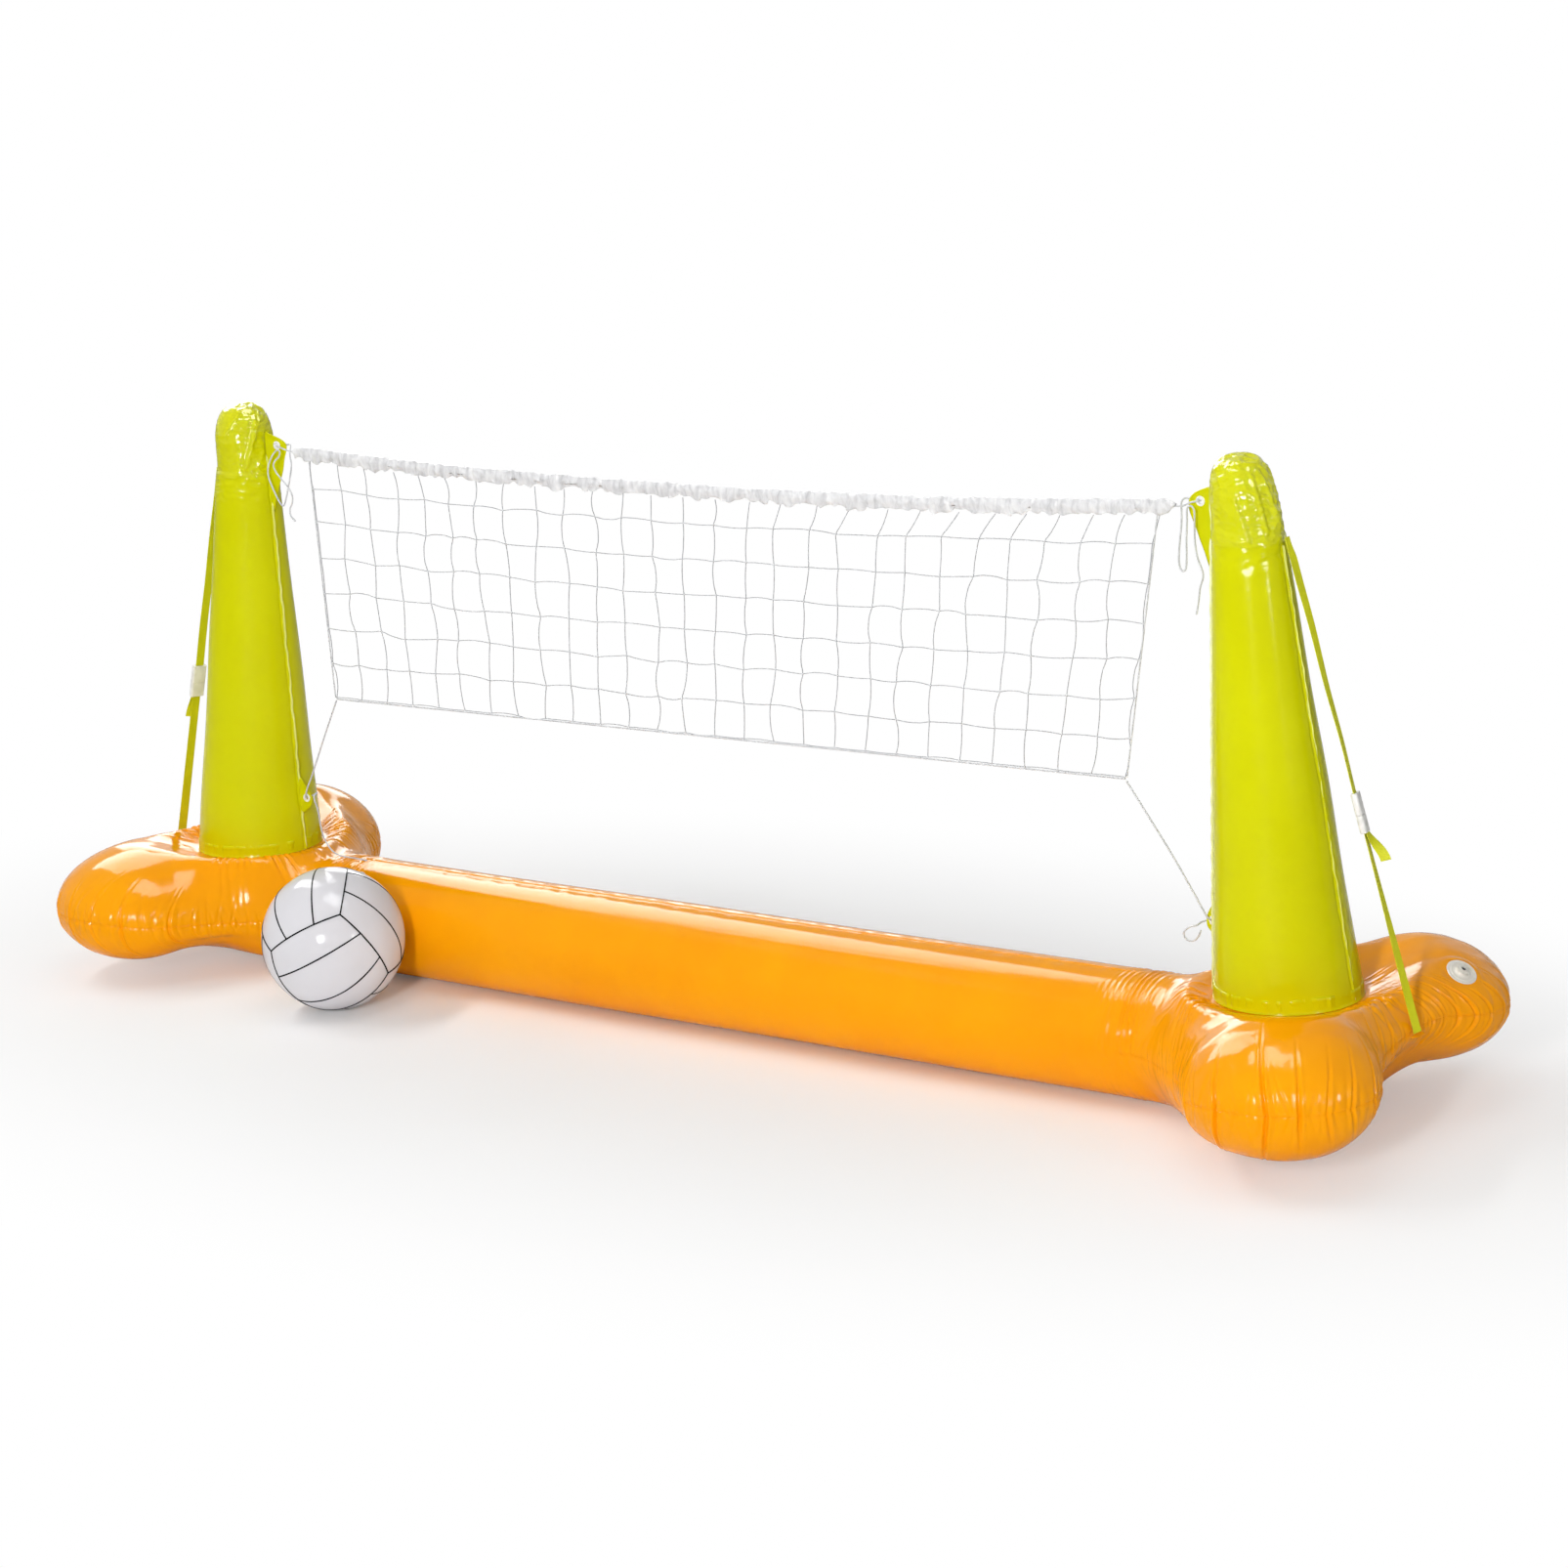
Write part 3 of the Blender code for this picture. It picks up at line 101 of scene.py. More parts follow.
NET_TOP_INSET = 0.07
NET_BOTTOM_INSET = {-1: 0.081, 1: 0.134}
NET_BOTTOM_Z = {-1: 0.443, 1: 0.457}
TOP_ROW_SHARE = 0.72
WEBBING_THICKNESS = 0.001
STRAP_TOP_OFFSET = 0.009
STRAP_TOP_RISE = 0.004
TAB_REACH = 0.011
TAB_THICKNESS = 0.0008
BUCKLE_START = 0.345
SOCKET_LENGTH = 0.03
PRONG_BASE_LENGTH = 0.024
BUCKLE_TWIST = radians(35)
TAIL_LENGTH = 0.048
BALL_RADIUS = 0.112

AXIS_Z = BEAM_RADIUS - BEAM_SQUASH
LOBE_X = LENGTH / 2 - LOBE_RADIUS
LOBE_Y = WIDTH / 2 - LOBE_RADIUS
POST_X = LENGTH / 2 - POST_INSET
WELD_X = POST_X - NECK_LENGTH
ARM_LENGTH = hypot(LOBE_X - POST_X, LOBE_Y)
ARM_EDGE = sqrt(LOBE_RADIUS**2 + LOBE_BLEND / (2 * LOBE_FLATNESS) ** 2)
HUB_TO_NOTCH = ARM_EDGE * ARM_LENGTH / LOBE_Y
CROWN_Z = HEIGHT - CROWN_HEIGHT
EYELET_Z = HEIGHT - EYELET_DROP
SIDES = {"left": -1, "right": 1}
ROOT = "net_set"

# Crown outline as shares of its height and of its radius
CROWN_OUTLINE = [
    (0.0, 1.08), (0.09, 1.01), (0.4, 1.0), (0.5, 0.99), (0.6, 0.965), (0.7, 0.915), (0.78, 0.855),
    (0.85, 0.775), (0.905, 0.675), (0.95, 0.53), (0.98, 0.37), (0.995, 0.2), (1.0, 0.0),
]

# The photograph's camera
CAMERA_PLACE = Vector((3.363774, -4.251591, 1.717939))
CAMERA_LENS = 86.045
CAMERA_YAW, CAMERA_PITCH, CAMERA_ROLL = map(radians, (37.265, 13.9759, -3.556))
CAMERA_TURN = (
    Matrix.Rotation(CAMERA_YAW, 3, "Z")
    @ Matrix.Rotation(pi / 2 - CAMERA_PITCH, 3, "X")
    @ Matrix.Rotation(CAMERA_ROLL, 3, "Z")
)

# The floor, where it stops taking shade and where it is plain white, and the world's light on the object
FLOOR_HALF = 200.0
FLOOR_Z = -0.0005
FLOOR_SHADE_REACH = 0.2
FLOOR_WHITE_REACH = 1.15
WORLD_LIGHT = 0.23


def new_object(name, data):
    obj = bpy.data.objects.new(name, data)
    bpy.context.scene.collection.objects.link(obj)
    return obj


def build_camera():
    data = bpy.data.cameras.new("camera")
    data.lens = CAMERA_LENS
    data.sensor_width = 36.0
    data.clip_end = 1000
    camera = new_object("camera", data)
    camera.matrix_world = Matrix.Translation(CAMERA_PLACE) @ CAMERA_TURN.to_4x4()
    bpy.context.scene.camera = camera


class Nodes:
    """Short forms for the nodes of a material or of the world."""

    def __init__(self, block, shader="Principled BSDF"):
        block.use_nodes = True
        self.block, self.tree = block, block.node_tree
        self.shader = self.tree.nodes[shader]

    def fill(self, node, key, value):
        """Give a node's input a value, or link it to the socket of another node."""
        socket = node.inputs[key if isinstance(key, int) else key.replace("_", " ")]
        if isinstance(value, bpy.types.NodeSocket):
            self.tree.links.new(value, socket)
        elif value is not None:
            socket.default_value = value

    def add(self, kind, *values, out=0, **named):
        """One output of a new node. Names with a capital are its inputs, the others its settings."""
        node = self.tree.nodes.new("ShaderNode" + kind)
        for key, value in (*named.items(), *enumerate(values)):
            if isinstance(key, str) and key[0].islower():
                setattr(node, key, value)
            else:
                self.fill(node, key, value)
        return node.outputs[out]

    def finish(self, **values):
        for key, value in values.items():
            self.fill(self.shader, key, value)
        return self.block

    def scaled(self, vector, scale):
        return self.add("Mapping", vector, Scale=scale)

    def noise(self, vector, scale, detail=3.0, roughness=0.5, distortion=0.0):
        values = {"Scale": scale, "Detail": detail, "Roughness": roughness, "Distortion": distortion}
        return self.add("TexNoise", vector, **values)

    def ramp(self, value, *stops):
        """A colour ramp of (position, colour) stops. A plain number is a grey."""
        output = self.add("ValToRGB", value)
        elements = output.node.color_ramp.elements
        while len(elements) < len(stops):
            elements.new(0.5)
        for element, (position, colour) in zip(elements, stops):
            element.position = position
            element.color = (*([colour] * 3 if isinstance(colour, float) else colour), 1)
        return output

    def maths(self, operation, a, b):
        return self.add("Math", a, b, operation=operation)

    def mixed(self, a, share, b):
        return self.maths("ADD", self.maths("MULTIPLY", a, share), self.maths("MULTIPLY", b, 1 - share))

    def bump(self, height, strength, distance, before=None):
        return self.add("Bump", Strength=strength, Distance=distance, Height=height, Normal=before)


def new_material(name):
    n = Nodes(bpy.data.materials.new(name))
    return n, n.add("TexCoord", out="Object")


def film_material(name, deep, plain, pale, roughness, crinkles=0.0, shine=0.08):
    """Glossy vinyl film: a cloudy colour, fine grain in the gloss, and crinkles on gathered film."""
    n, place = new_material(name)
    soft = n.bump(n.noise(place, 22.0, 3.0, 0.5, 0.4), 0.1, 0.004)
    if crinkles:
        crinkle = n.noise(n.scaled(place, (1.0, 1.0, 0.6)), 95.0, 3.0, 0.5, 1.2)
        soft = n.bump(crinkle, crinkles, 0.004, soft)
    return n.finish(
        Base_Color=n.ramp(n.noise(place, 6.0, 4.0, 0.55), (0.3, deep), (0.52, plain), (0.78, pale)),
        Roughness=n.ramp(n.noise(place, 35.0, 4.0, 0.6), (0.25, roughness * 0.75), (0.75, roughness * 1.35)),
        Normal=n.bump(n.noise(place, 420.0, 2.0), 0.05, 0.0006, soft),
        Specular_IOR_Level=shine,
    )


def fabric_material(name, dark, light, scale):
    """Twisted thread: fine noise for the fibres over a coarser change of tone."""
    n, place = new_material(name)
    fibres = n.noise(place, scale, 5.0, 0.7)
    tone = n.noise(place, scale / 12, 2.0)
    return n.finish(
        Base_Color=n.ramp(n.mixed(fibres, 0.65, tone), (0.3, dark), (0.7, light)),
        Normal=n.bump(fibres, 0.5, 0.0005),
        Roughness=0.75,
        Sheen_Weight=0.3,
        Sheen_Roughness=0.4,
    )


def webbing_material():
    """Woven strap: a twill made of two crossed waves in the plane of the strap."""
    n, place = new_material("lime_webbing")
    ribs, warp = (
        n.add("TexWave", place, Scale=scale, Distortion=bend, Detail=1.0, bands_direction=way, out="Fac")
        for scale, bend, way in ((260.0, 1.2, "Z"), (330.0, 1.0, "DIAGONAL"))
    )
    weave = n.mixed(ribs, 0.6, warp)
    tone = n.mixed(weave, 0.5, n.noise(place, 30.0))
    return n.finish(
        Base_Color=n.ramp(tone, (0.25, (0.54, 0.55, 0.002)), (0.75, (0.72, 0.73, 0.006))),
        Normal=n.bump(weave, 0.45, 0.0004),
        Roughness=0.55,
        Specular_IOR_Level=0.2,
    )


def one_noise_material(name, noise, colours, gloss, bump, stretch=None, ior=None):
    """A material whose colour, gloss and relief all follow one noise."""
    n, place = new_material(name)
    pattern = n.noise(n.scaled(place, stretch) if stretch else place, *noise)
    return n.finish(
        Base_Color=n.ramp(pattern, *colours),
        Roughness=n.ramp(pattern, *gloss),
        Normal=n.bump(pattern, *bump),
        IOR=ior,
        Specular_IOR_Level=0.3,
    )


def tape_material():
    """Thin pale tape of the headband, crinkled at the gathers, darker in the crinkles' hollows as painted
    shade.
    """
    # The greys follow the crinkle bump: darker in its hollows, a painted shade over the tape's own pale tone
    tones_and_crinkle_shade = (0.32, (0.56, 0.56, 0.57)), (0.5, (0.72, 0.72, 0.73)), (0.68, 0.84)
    gloss = (0.3, 0.25), (0.7, 0.5)
    return one_noise_material("band_tape", (90.0, 5.0, 0.6, 0.6), tones_and_crinkle_shade, gloss, (0.5, 0.0012), (1, 1, 0.35))


def moulded_material(name, dark, light):
    """Milky moulded plastic with faint flow marks."""
    colours, gloss = ((0.3, dark), (0.7, light)), ((0.3, 0.18), (0.7, 0.34))
    return one_noise_material(name, (45.0, 2.0, 0.5, 0.4), colours, gloss, (0.1, 0.0006), ior=1.45)


def floor_material():
    """A pale floor that shows its shadows near the object and turns to plain white further out."""
    n, place = new_material("floor_white")
    apart = n.add("VectorMath", n.scaled(place, (0.55, 1.0, 0.0)), operation="LENGTH", out="Value")
    far = n.add("MapRange", apart, FLOOR_SHADE_REACH, FLOOR_WHITE_REACH, interpolation_type="SMOOTHSTEP")
    white = n.maths("MULTIPLY", far, n.add("LightPath", out="Is Camera Ray"))
    mix = n.add("MixShader", white, n.shader.outputs["BSDF"], n.add("Emission"))
    n.fill(n.tree.nodes["Material Output"], "Surface", mix)
    grain = n.ramp(n.noise(place, 1.5, 2.0), (0.3, 0.9), (0.7, 0.92))
    return n.finish(Base_Color=grain, Roughness=0.9, Specular_IOR_Level=0.1)


LIME = (0.605, 0.605, 0.001), (0.63, 0.635, 0.001), (0.655, 0.665, 0.002)
ORANGE = (0.91, 0.322, 0.001), (0.94, 0.352, 0.001), (0.96, 0.382, 0.001)
MATERIALS = {
    "orange": film_material("orange_film", *ORANGE, 0.1),
    "lime": film_material("lime_film", *LIME, 0.14),
    "crinkled": film_material("lime_crinkled", *LIME, 0.1, 0.1, 0.22),
    # Near-white weld film: partly the weld's own paler film, partly a painted highlight along the post's edge
    "seam": film_material("lime_seam_and_painted_highlight", (0.78, 0.8, 0.3), (0.86, 0.87, 0.48), (0.92, 0.92, 0.66), 0.22),
    "line": film_material("lime_line", (0.72, 0.73, 0.12), (0.78, 0.79, 0.18), (0.82, 0.83, 0.26), 0.22),
    "webbing": webbing_material(),
    "cord": fabric_material("net_cord", (0.4, 0.41, 0.43), (0.8, 0.81, 0.82), 700.0),
    # The net's white strands are painted darker grey than the cord: painted shade of the thin strands
    "strand": fabric_material("net_strand_painted_shade", (0.26, 0.27, 0.29), (0.52, 0.53, 0.55), 800.0),
    "tape": tape_material(),
    "clear": moulded_material("clear_plastic", (0.74, 0.73, 0.68), (0.9, 0.89, 0.86)),
    "valve": moulded_material("valve_plastic", (0.72, 0.68, 0.6), (0.8, 0.77, 0.7)),
    "grip": moulded_material("valve_grip", (0.6, 0.58, 0.52), (0.72, 0.7, 0.64)),
    # A near-black disc in each plug's opening: painted shade in the recess
    "dark": moulded_material("valve_painted_shade_disc", 0.03, 0.05),
    "eyelet": moulded_material("eyelet_plastic", (0.8, 0.8, 0.79), 0.9),
    "ball": film_material("ball_film", (0.68, 0.67, 0.7), (0.71, 0.7, 0.73), (0.74, 0.73, 0.76), 0.1),
    "ink": film_material("ball_ink", (0.004, 0.004, 0.005), (0.006, 0.006, 0.007), 0.01, 0.3),
}


def finish_piece(obj, material, body, replaced):
    obj.data.materials.clear()
    obj.data.materials.append(MATERIALS[material])
    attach(obj, body)
    if replaced:
        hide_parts(*replaced)
    return obj


def mesh_piece(
    name, points, faces, material, slot, replaced=(), body=ROOT, smooth=True, sharp=None, weld=1e-6
):
    """A piece from points and faces, with equal points joined and its faces turned outward."""
    mesh = bpy.data.meshes.new(name)
    mesh.from_pydata(np.asarray(points, float).reshape(-1, 3).tolist(), [], faces)
    shape = bmesh.new()
    shape.from_mesh(mesh)
    if weld:
        bmesh.ops.remove_doubles(shape, verts=shape.verts, dist=weld)
    bmesh.ops.recalc_face_normals(shape, faces=shape.faces)
    shape.to_mesh(mesh)
    shape.free()
    if smooth:
        mesh.shade_smooth()
    if sharp:
        mesh.set_sharp_from_angle(angle=radians(sharp))
    return finish_piece(new_object(name, mesh), material, body, replaced)


def grid_faces(rows, columns, first=0):
    """Quads of a grid that closes round its columns, whose points are numbered from first."""
    i, j = np.meshgrid(np.arange(rows - 1), np.arange(columns), indexing="ij")
    here, after = i * columns + j, i * columns + (j + 1) % columns
    quads = stacked(here, here + columns, after + columns, after)
    return (quads.reshape(-1, 4) + first).tolist()


def capped_faces(rows, columns):
    """Quads of a closed grid, with a face over both of its ends."""
    last = (rows - 1) * columns
    return grid_faces(rows, columns) + [list(range(columns)), list(range(last, last + columns))]


def grid_piece(name, grid, *look, **settings):
    return mesh_piece(name, grid, grid_faces(*grid.shape[:2]), *look, **settings)


def joined(parts):
    """Points and faces of several (points, faces) lists as one."""
    points, faces = [], []
    for part_points, part_faces in parts:
        start = len(points)
        points += [tuple(map(float, p)) for p in part_points]
        faces += [tuple(start + i for i in face) for face in part_faces]
    return points, faces


def outward_normals(grid, centre):
    """Normals of a closed grid, turned away from the point or points in centre."""
    across = np.roll(grid, -1, axis=1) - np.roll(grid, 1, axis=1)
    normal = np.cross(np.gradient(grid, axis=0), across)
    normal /= np.maximum(np.linalg.norm(normal, axis=2, keepdims=True), 1e-12)
    away = np.sum(normal * (grid - centre), axis=2, keepdims=True)
    return np.where(away < 0, -normal, normal)


def ease(value):
    t = np.clip(value, 0.0, 1.0)
    return t * t * (3 - 2 * t)


def bell(value, width):
    return np.exp(-0.5 * (value / width) ** 2)


def turn_from(angle, middle):
    """Angles counted from a middle one, from minus to plus half a turn."""
    return (angle - middle + pi) % (2 * pi) - pi


def even_turns(count):
    return 2 * pi * np.arange(count) / count


def packed_turns(count, packing=0.42):
    """Angles round a tube, packed closer at its two welds."""
    turns = even_turns(count)
    return turns - packing * np.sin(2 * turns)


def stacked(*axes):
    return np.stack(axes, axis=-1)


def unit(vectors):
    return vectors / np.linalg.norm(vectors, axis=-1, keepdims=True)


def distances(line):
    """Distance of each point from the first, along a line of points or down the columns of a grid."""
    return np.cumsum(np.linalg.norm(np.diff(line, axis=0, prepend=line[:1]), axis=-1), axis=0)


def ripple(points, scale, seed, stretch=(1, 1, 1)):
    """Smooth noise from -1 to 1 at an array of points, as the sum of waves in random directions."""
    chance = np.random.default_rng(seed)
    scaled = points * np.array(stretch)
    total = np.zeros(points.shape[:-1])
    count = 9
    for _ in range(count):
        direction = chance.normal(size=3)
        direction /= np.linalg.norm(direction)
        phase = chance.uniform(0, 2 * pi)
        pace = scale * chance.uniform(0.6, 1.5)
        total += np.sin(scaled @ direction * pace * 2 * pi + phase)
    return total / sqrt(count)


def crease(offset, width):
    """Cross-section of a fold in tight film: a sharp valley between two low rounded ridges."""
    return -bell(offset, width) + 0.45 * bell(np.abs(offset) - 2.4 * width, 1.1 * width)


def tube(points, radius, segments, twist=0.0, depth=0.0, strands=3):
    """A tube along points. twist is a rope's turns for each metre, and depth how deep its strands cut."""
    path = np.array([tuple(p) for p in points])
    tangents = unit(np.gradient(path, axis=0))
    lengths = distances(path)
    radii = np.broadcast_to(radius, len(path))
    side = np.cross(tangents[0], (0.31, 0.87, 0.38))
    rings = []
    angles = even_turns(segments)
    for i, tangent in enumerate(tangents):
        side = unit(side - tangent * np.dot(side, tangent))
        other = np.cross(tangent, side)
        rope = 1 - depth * (0.5 - 0.5 * np.cos(strands * (angles - 2 * pi * twist * lengths[i])))
        around = np.outer(np.cos(angles), side) + np.outer(np.sin(angles), other)
        rings.append(path[i] + (radii[i] * rope)[:, None] * around)
    return np.concatenate(rings), capped_faces(len(path), segments)


def smooth_route(points, step):
    """Points a step apart along a smooth curve through the route's points."""
    route = np.array([tuple(p) for p in points])
    ends = np.concatenate([[2 * route[0] - route[1]], route, [2 * route[-1] - route[-2]]])
    a, b, c, d = (ends[k : len(ends) - 3 + k, None] for k in range(4))
    t = np.arange(16)[None, :, None] / 16
    fine = 2 * b + (c - a) * t + (2 * a - 5 * b + 4 * c - d) * t**2 + (3 * b - a - 3 * c + d) * t**3
    fine = np.concatenate([0.5 * fine.reshape(-1, 3), route[-1:]])
    return spaced(fine, max(2, round(distances(fine)[-1] / step)) + 1)


def spaced(line, count, endpoint=True):
    """Points at even distances along a line of points."""
    lengths = distances(line)
    wanted = np.linspace(0.0, lengths[-1], count, endpoint=endpoint)
    return stacked(*(np.interp(wanted, lengths, axis) for axis in line.T))


# Shape of the base, as in the solids but with each lobe's own fullness and a softer saddle beside the beam

SEAT = POST_FOOT_RADIUS + SEAT_MARGIN
CORNER = (0.895, 0.12)
CORNER_SPREAD = 0.055
CORNER_BLEND = 0.015
CORNER_FILL = 0.28
DISH_ROUNDING = 0.012
# Spacing of the rings beside the welds of the beam, on the ends and on the beam
NECK_RING_PITCH = 0.0095
BEAM_RING_PITCH = 0.0105
# How much of the slow waves each end's film shows, and the height up to which it lies flat on the floor
SLACK = {-1: 0.45, 1: 1.0}
FLAT_FILM = 0.0015
SEAM_PULL = 0.0013
RISE_START = WELD_X + 0.045
NECK_STEPS = 72
LOBE_STEPS = 930


def smooth_max(a, b, blend):
    near = np.maximum(blend - np.abs(a - b), 0.0)
    return np.maximum(a, b) + near * near / (4 * blend)


def near_corner(x, y):
    return bell(np.hypot(x - CORNER[0], np.abs(y) - CORNER[1]), CORNER_SPREAD)


def near_notch(x, y, spread):
    return bell(np.hypot(x - POST_X - HUB_TO_NOTCH, y), spread)


def fullness(x, y):
    """Square of the half height of the right end at x, y, or below zero outside the outline."""
    lobes = []
    for side in (-1, 1):
        ux = (LOBE_X - POST_X) / ARM_LENGTH
        uy = side * LOBE_Y / ARM_LENGTH
        along = np.clip((x - POST_X) * ux + y * uy, 0.0, ARM_LENGTH)
        distance = np.hypot(x - POST_X - along * ux, y - along * uy)
        lobes.append(LOBE_FLATNESS**2 * (LOBE_RADIUS**2 - distance**2))
    neck = BEAM_RADIUS**2 - y**2 - np.maximum(0.0, x - POST_X) ** 2
    return smooth_max(smooth_max(*lobes, LOBE_BLEND), neck, NECK_BLEND + CORNER_BLEND * near_corner(x, y))


# How each lobe differs from the plain one, by its end and its side: (added fullness, lift of its seam)
LOBE_TWEAKS = {(1, -1): (0.0, 0.0), (1, 1): (-0.114, 0.011), (-1, -1): (-0.04, -0.006), (-1, 1): (0.0, 0.004)}
FULLNESS, LIFT = 0, 1

# Pulls that give each lobe its own outline, with x as on the right end: end, sheets, middle, spread, shift
PULLS = [
    (1, "both", (1.165, -0.1), 0.05, (-0.014, -0.01, 0.0)),
    (1, "both", (1.167, 0.262), 0.06, (-0.009, -0.007, 0.0)),
    (-1, "both", (1.167, -0.262), 0.05, (0.004, -0.003, 0.0)),
    (-1, "lower", (0.925, -0.125), 0.075, (0.0, 0.0, 0.026)),
]


def tweak(x, y, side, which):
    """A lobe's own difference at x, y: none at the hub, and all of it out on the front or back lobe."""
    total = 0.0
    for front in (-1, 1):
        along = ((x - POST_X) * (LOBE_X - POST_X) + y * front * LOBE_Y) / ARM_LENGTH**2
        total = total + LOBE_TWEAKS[side, front][which] * ease((along - 0.25) / 0.6)
    return total


def half_height(x, y, side):
    pinch = 1 - NOTCH_PINCH * near_notch(x, y, NOTCH_PINCH_SPREAD)
    return pinch * (1 + tweak(x, y, side, FULLNESS)) * np.sqrt(np.maximum(fullness(x, y), 0.0))


def plain_seam(x, y):
    rise = LOBE_RISE * ease((x - RISE_START) / (LOBE_X - RISE_START))
    return AXIS_Z + rise + NOTCH_RISE * near_notch(x, y, NOTCH_SPREAD)


def reaches(angles):
    """Distances from the post's foot to the end's outline, or to its weld with the beam."""
    dx, dy = np.cos(angles), np.sin(angles)
    with np.errstate(divide="ignore"):
        to_weld = np.where(dx < 0, NECK_LENGTH / np.maximum(-dx, 1e-9), 9.0)
    at_weld = (dx < 0) & (np.abs(to_weld * dy) <= BEAM_RADIUS * 1.0001)
    furthest = np.minimum(0.6, to_weld)
    steps = np.linspace(0, 1, 151)[None, :] * furthest[:, None]
    inside = fullness(POST_X + steps * dx[:, None], steps * dy[:, None]) > 0
    first_out = np.where(inside.all(axis=1), 150, np.argmin(inside, axis=1))
    rows = np.arange(len(angles))
    near = steps[rows, np.maximum(first_out - 1, 0)]
    far = steps[rows, first_out]
    for _ in range(40):
        middle = (near + far) / 2
        full = fullness(POST_X + middle * dx, middle * dy) > 0
        near = np.where(full, middle, near)
        far = np.where(full, far, middle)
    return np.where(at_weld, to_weld, near), at_weld


def end_directions():
    """Directions from the post's foot, spaced evenly along the weld with the beam and along the seam."""
    neck_half = atan2(BEAM_RADIUS, NECK_LENGTH)
    across = BEAM_RADIUS * np.sin(pi * (np.arange(NECK_STEPS) / NECK_STEPS - 0.5))
    around_neck = pi + np.arctan2(across, NECK_LENGTH)
    sweep = np.linspace(pi + neck_half, 3 * pi - neck_half, 2400)
    far, _ = reaches(sweep)
    lengths = distances(stacked(far * np.cos(sweep), far * np.sin(sweep)))
    wanted = np.linspace(0, lengths[-1], LOBE_STEPS, endpoint=False)
    return np.concatenate([around_neck, np.interp(wanted, lengths, sweep)])


def end_sheet(side, is_upper, rings):
    """Grid of the right end's upper or lower sheet, from the post's foot out to the seam, unfolded."""
    angles = end_directions()
    far, at_weld = reaches(angles)
    shares = np.sin(pi / 2 * np.arange(rings) / (rings - 1))
    inner = np.outer(np.linspace(0.05, 1.0, 4)[:-1], np.full_like(far, SEAT))
    r = np.concatenate([inner, SEAT + (far - SEAT) * shares[:, None]])
    x = POST_X + r * np.cos(angles)
    y = r * np.sin(angles)
    half = half_height(x, y, side)
    half[-1, ~at_weld] = 0.0
    middle = plain_seam(x, y) + tweak(x, y, side, LIFT)
    if is_upper:
        half = half * (1 + CORNER_FILL * near_corner(x, y))
        dish = POST_FOOT_Z + DISH_SLOPE * np.maximum(r - SEAT, 0)
        rounding = 0.0001 + DISH_ROUNDING * ease((r - SEAT) / 0.025)
        z = GAP / 2 - smooth_max(-middle - half, -dish, rounding)
        z = np.where(r <= SEAT + 1e-6, POST_FOOT_Z, z)
    else:
        sag = 1 + UNDERSIDE_SAG * (1 - ease(r / HUB_TO_NOTCH))
        z = np.maximum(middle - half * sag, 0.0)
    return stacked(x, y, z), angles


# Folds across each end's seam: direction from the post's foot in degrees, length up, length down and depth in
# millimetres, slant
SEAM_FOLDS = {
    1: [
        (262, 30, 30, 2.2, 0.1), (271, 30, 40, 3.6, 0.1), (282, 34, 60, 6.2, -0.12),
        (294, 50, 55, 6.2, -0.12), (301, 44, 34, 4.4, 0), (307, 40, 30, 3.2, 0.15),
        (313, 45, 30, 2.6, 0.2), (320, 50, 30, 2.8, 0.25), (326, 45, 30, 2.6, 0.25),
        (332, 45, 30, 2.6, 0.3), (338, 40, 20, 2.4, 0.3), (345, 40, 20, 2.2, 0.3),
        (14, 40, 20, 2.4, -0.2), (20, 50, 30, 2.8, -0.2), (25, 50, 30, 2.6, -0.25), (29, 55, 30, 3, -0.2),
        (33, 50, 30, 2.6, -0.25), (38, 55, 30, 2.8, -0.2), (43, 40, 30, 2.6, -0.1),
        (49, 40, 30, 2.4, -0.1), (55, 40, 30, 2.4, 0.1),
    ],
    -1: [
        (300, 30, 30, 2.6, 0.1), (292, 32, 40, 2.8, 0.1), (284, 36, 45, 3.4, -0.1),
        (275, 34, 45, 3.4, 0.1), (264, 30, 40, 2.8, 0), (350, 40, 20, 2.4, 0.3), (10, 40, 20, 2.4, -0.2),
    ],
}
SEAM_FOLD_WIDTH = 0.0018


def seam_puckers(outline_s, from_seam, folds):
    """Displacement by folds across the seam: (place, length up, length down, depth, slant, width)."""
    shift = np.zeros_like(from_seam)
    for place, up, down, depth, slant, width in folds:
        near = np.abs(outline_s - place) < 0.04
        above = from_seam[:, near]
        offset = outline_s[None, near] - place - slant * np.abs(above)
        shift[:, near] += depth * crease(offset, width) * bell(above, np.where(above > 0, up, down))
    return shift


def seam_folds(side, angles, outline_s):
    """The folds across one end's seam: deep ones where the photograph shows them, and many fine ones."""
    chance = random.Random(11 + side)
    folds = []
    place = 0.0
    while place < outline_s[-1]:
        place += chance.uniform(0.005, 0.02)
        up, down = chance.uniform(0.008, 0.036), chance.uniform(0.008, 0.034)
        depth, slant = chance.uniform(0.0004, 0.0016), chance.uniform(-0.4, 0.4)
        folds.append((place, up, down, depth, slant, chance.uniform(0.0013, 0.0028)))
    degrees = np.degrees(angles) % 360
    order = np.argsort(degrees)
    for direction, *sizes, slant in SEAM_FOLDS[side]:
        place = float(np.interp(direction, degrees[order], outline_s[order]))
        folds.append((place, *(size / 1000 for size in sizes), slant, SEAM_FOLD_WIDTH))
    return folds


def pulled(grid, side, is_upper, from_seam):
    """The grid with the pulls of this end's sheet."""
    moved = grid.copy()
    for end, sheets, (x, y), spread, shift in PULLS:
        if end != side or (sheets == "lower" and is_upper):
            continue
        weight = bell(np.hypot(grid[:, :, 0] - x, grid[:, :, 1] - y), spread)
        if sheets == "lower":
            weight = weight * ease(np.abs(from_seam) / 0.06)
        moved += weight[:, :, None] * np.array(shift)
    return moved


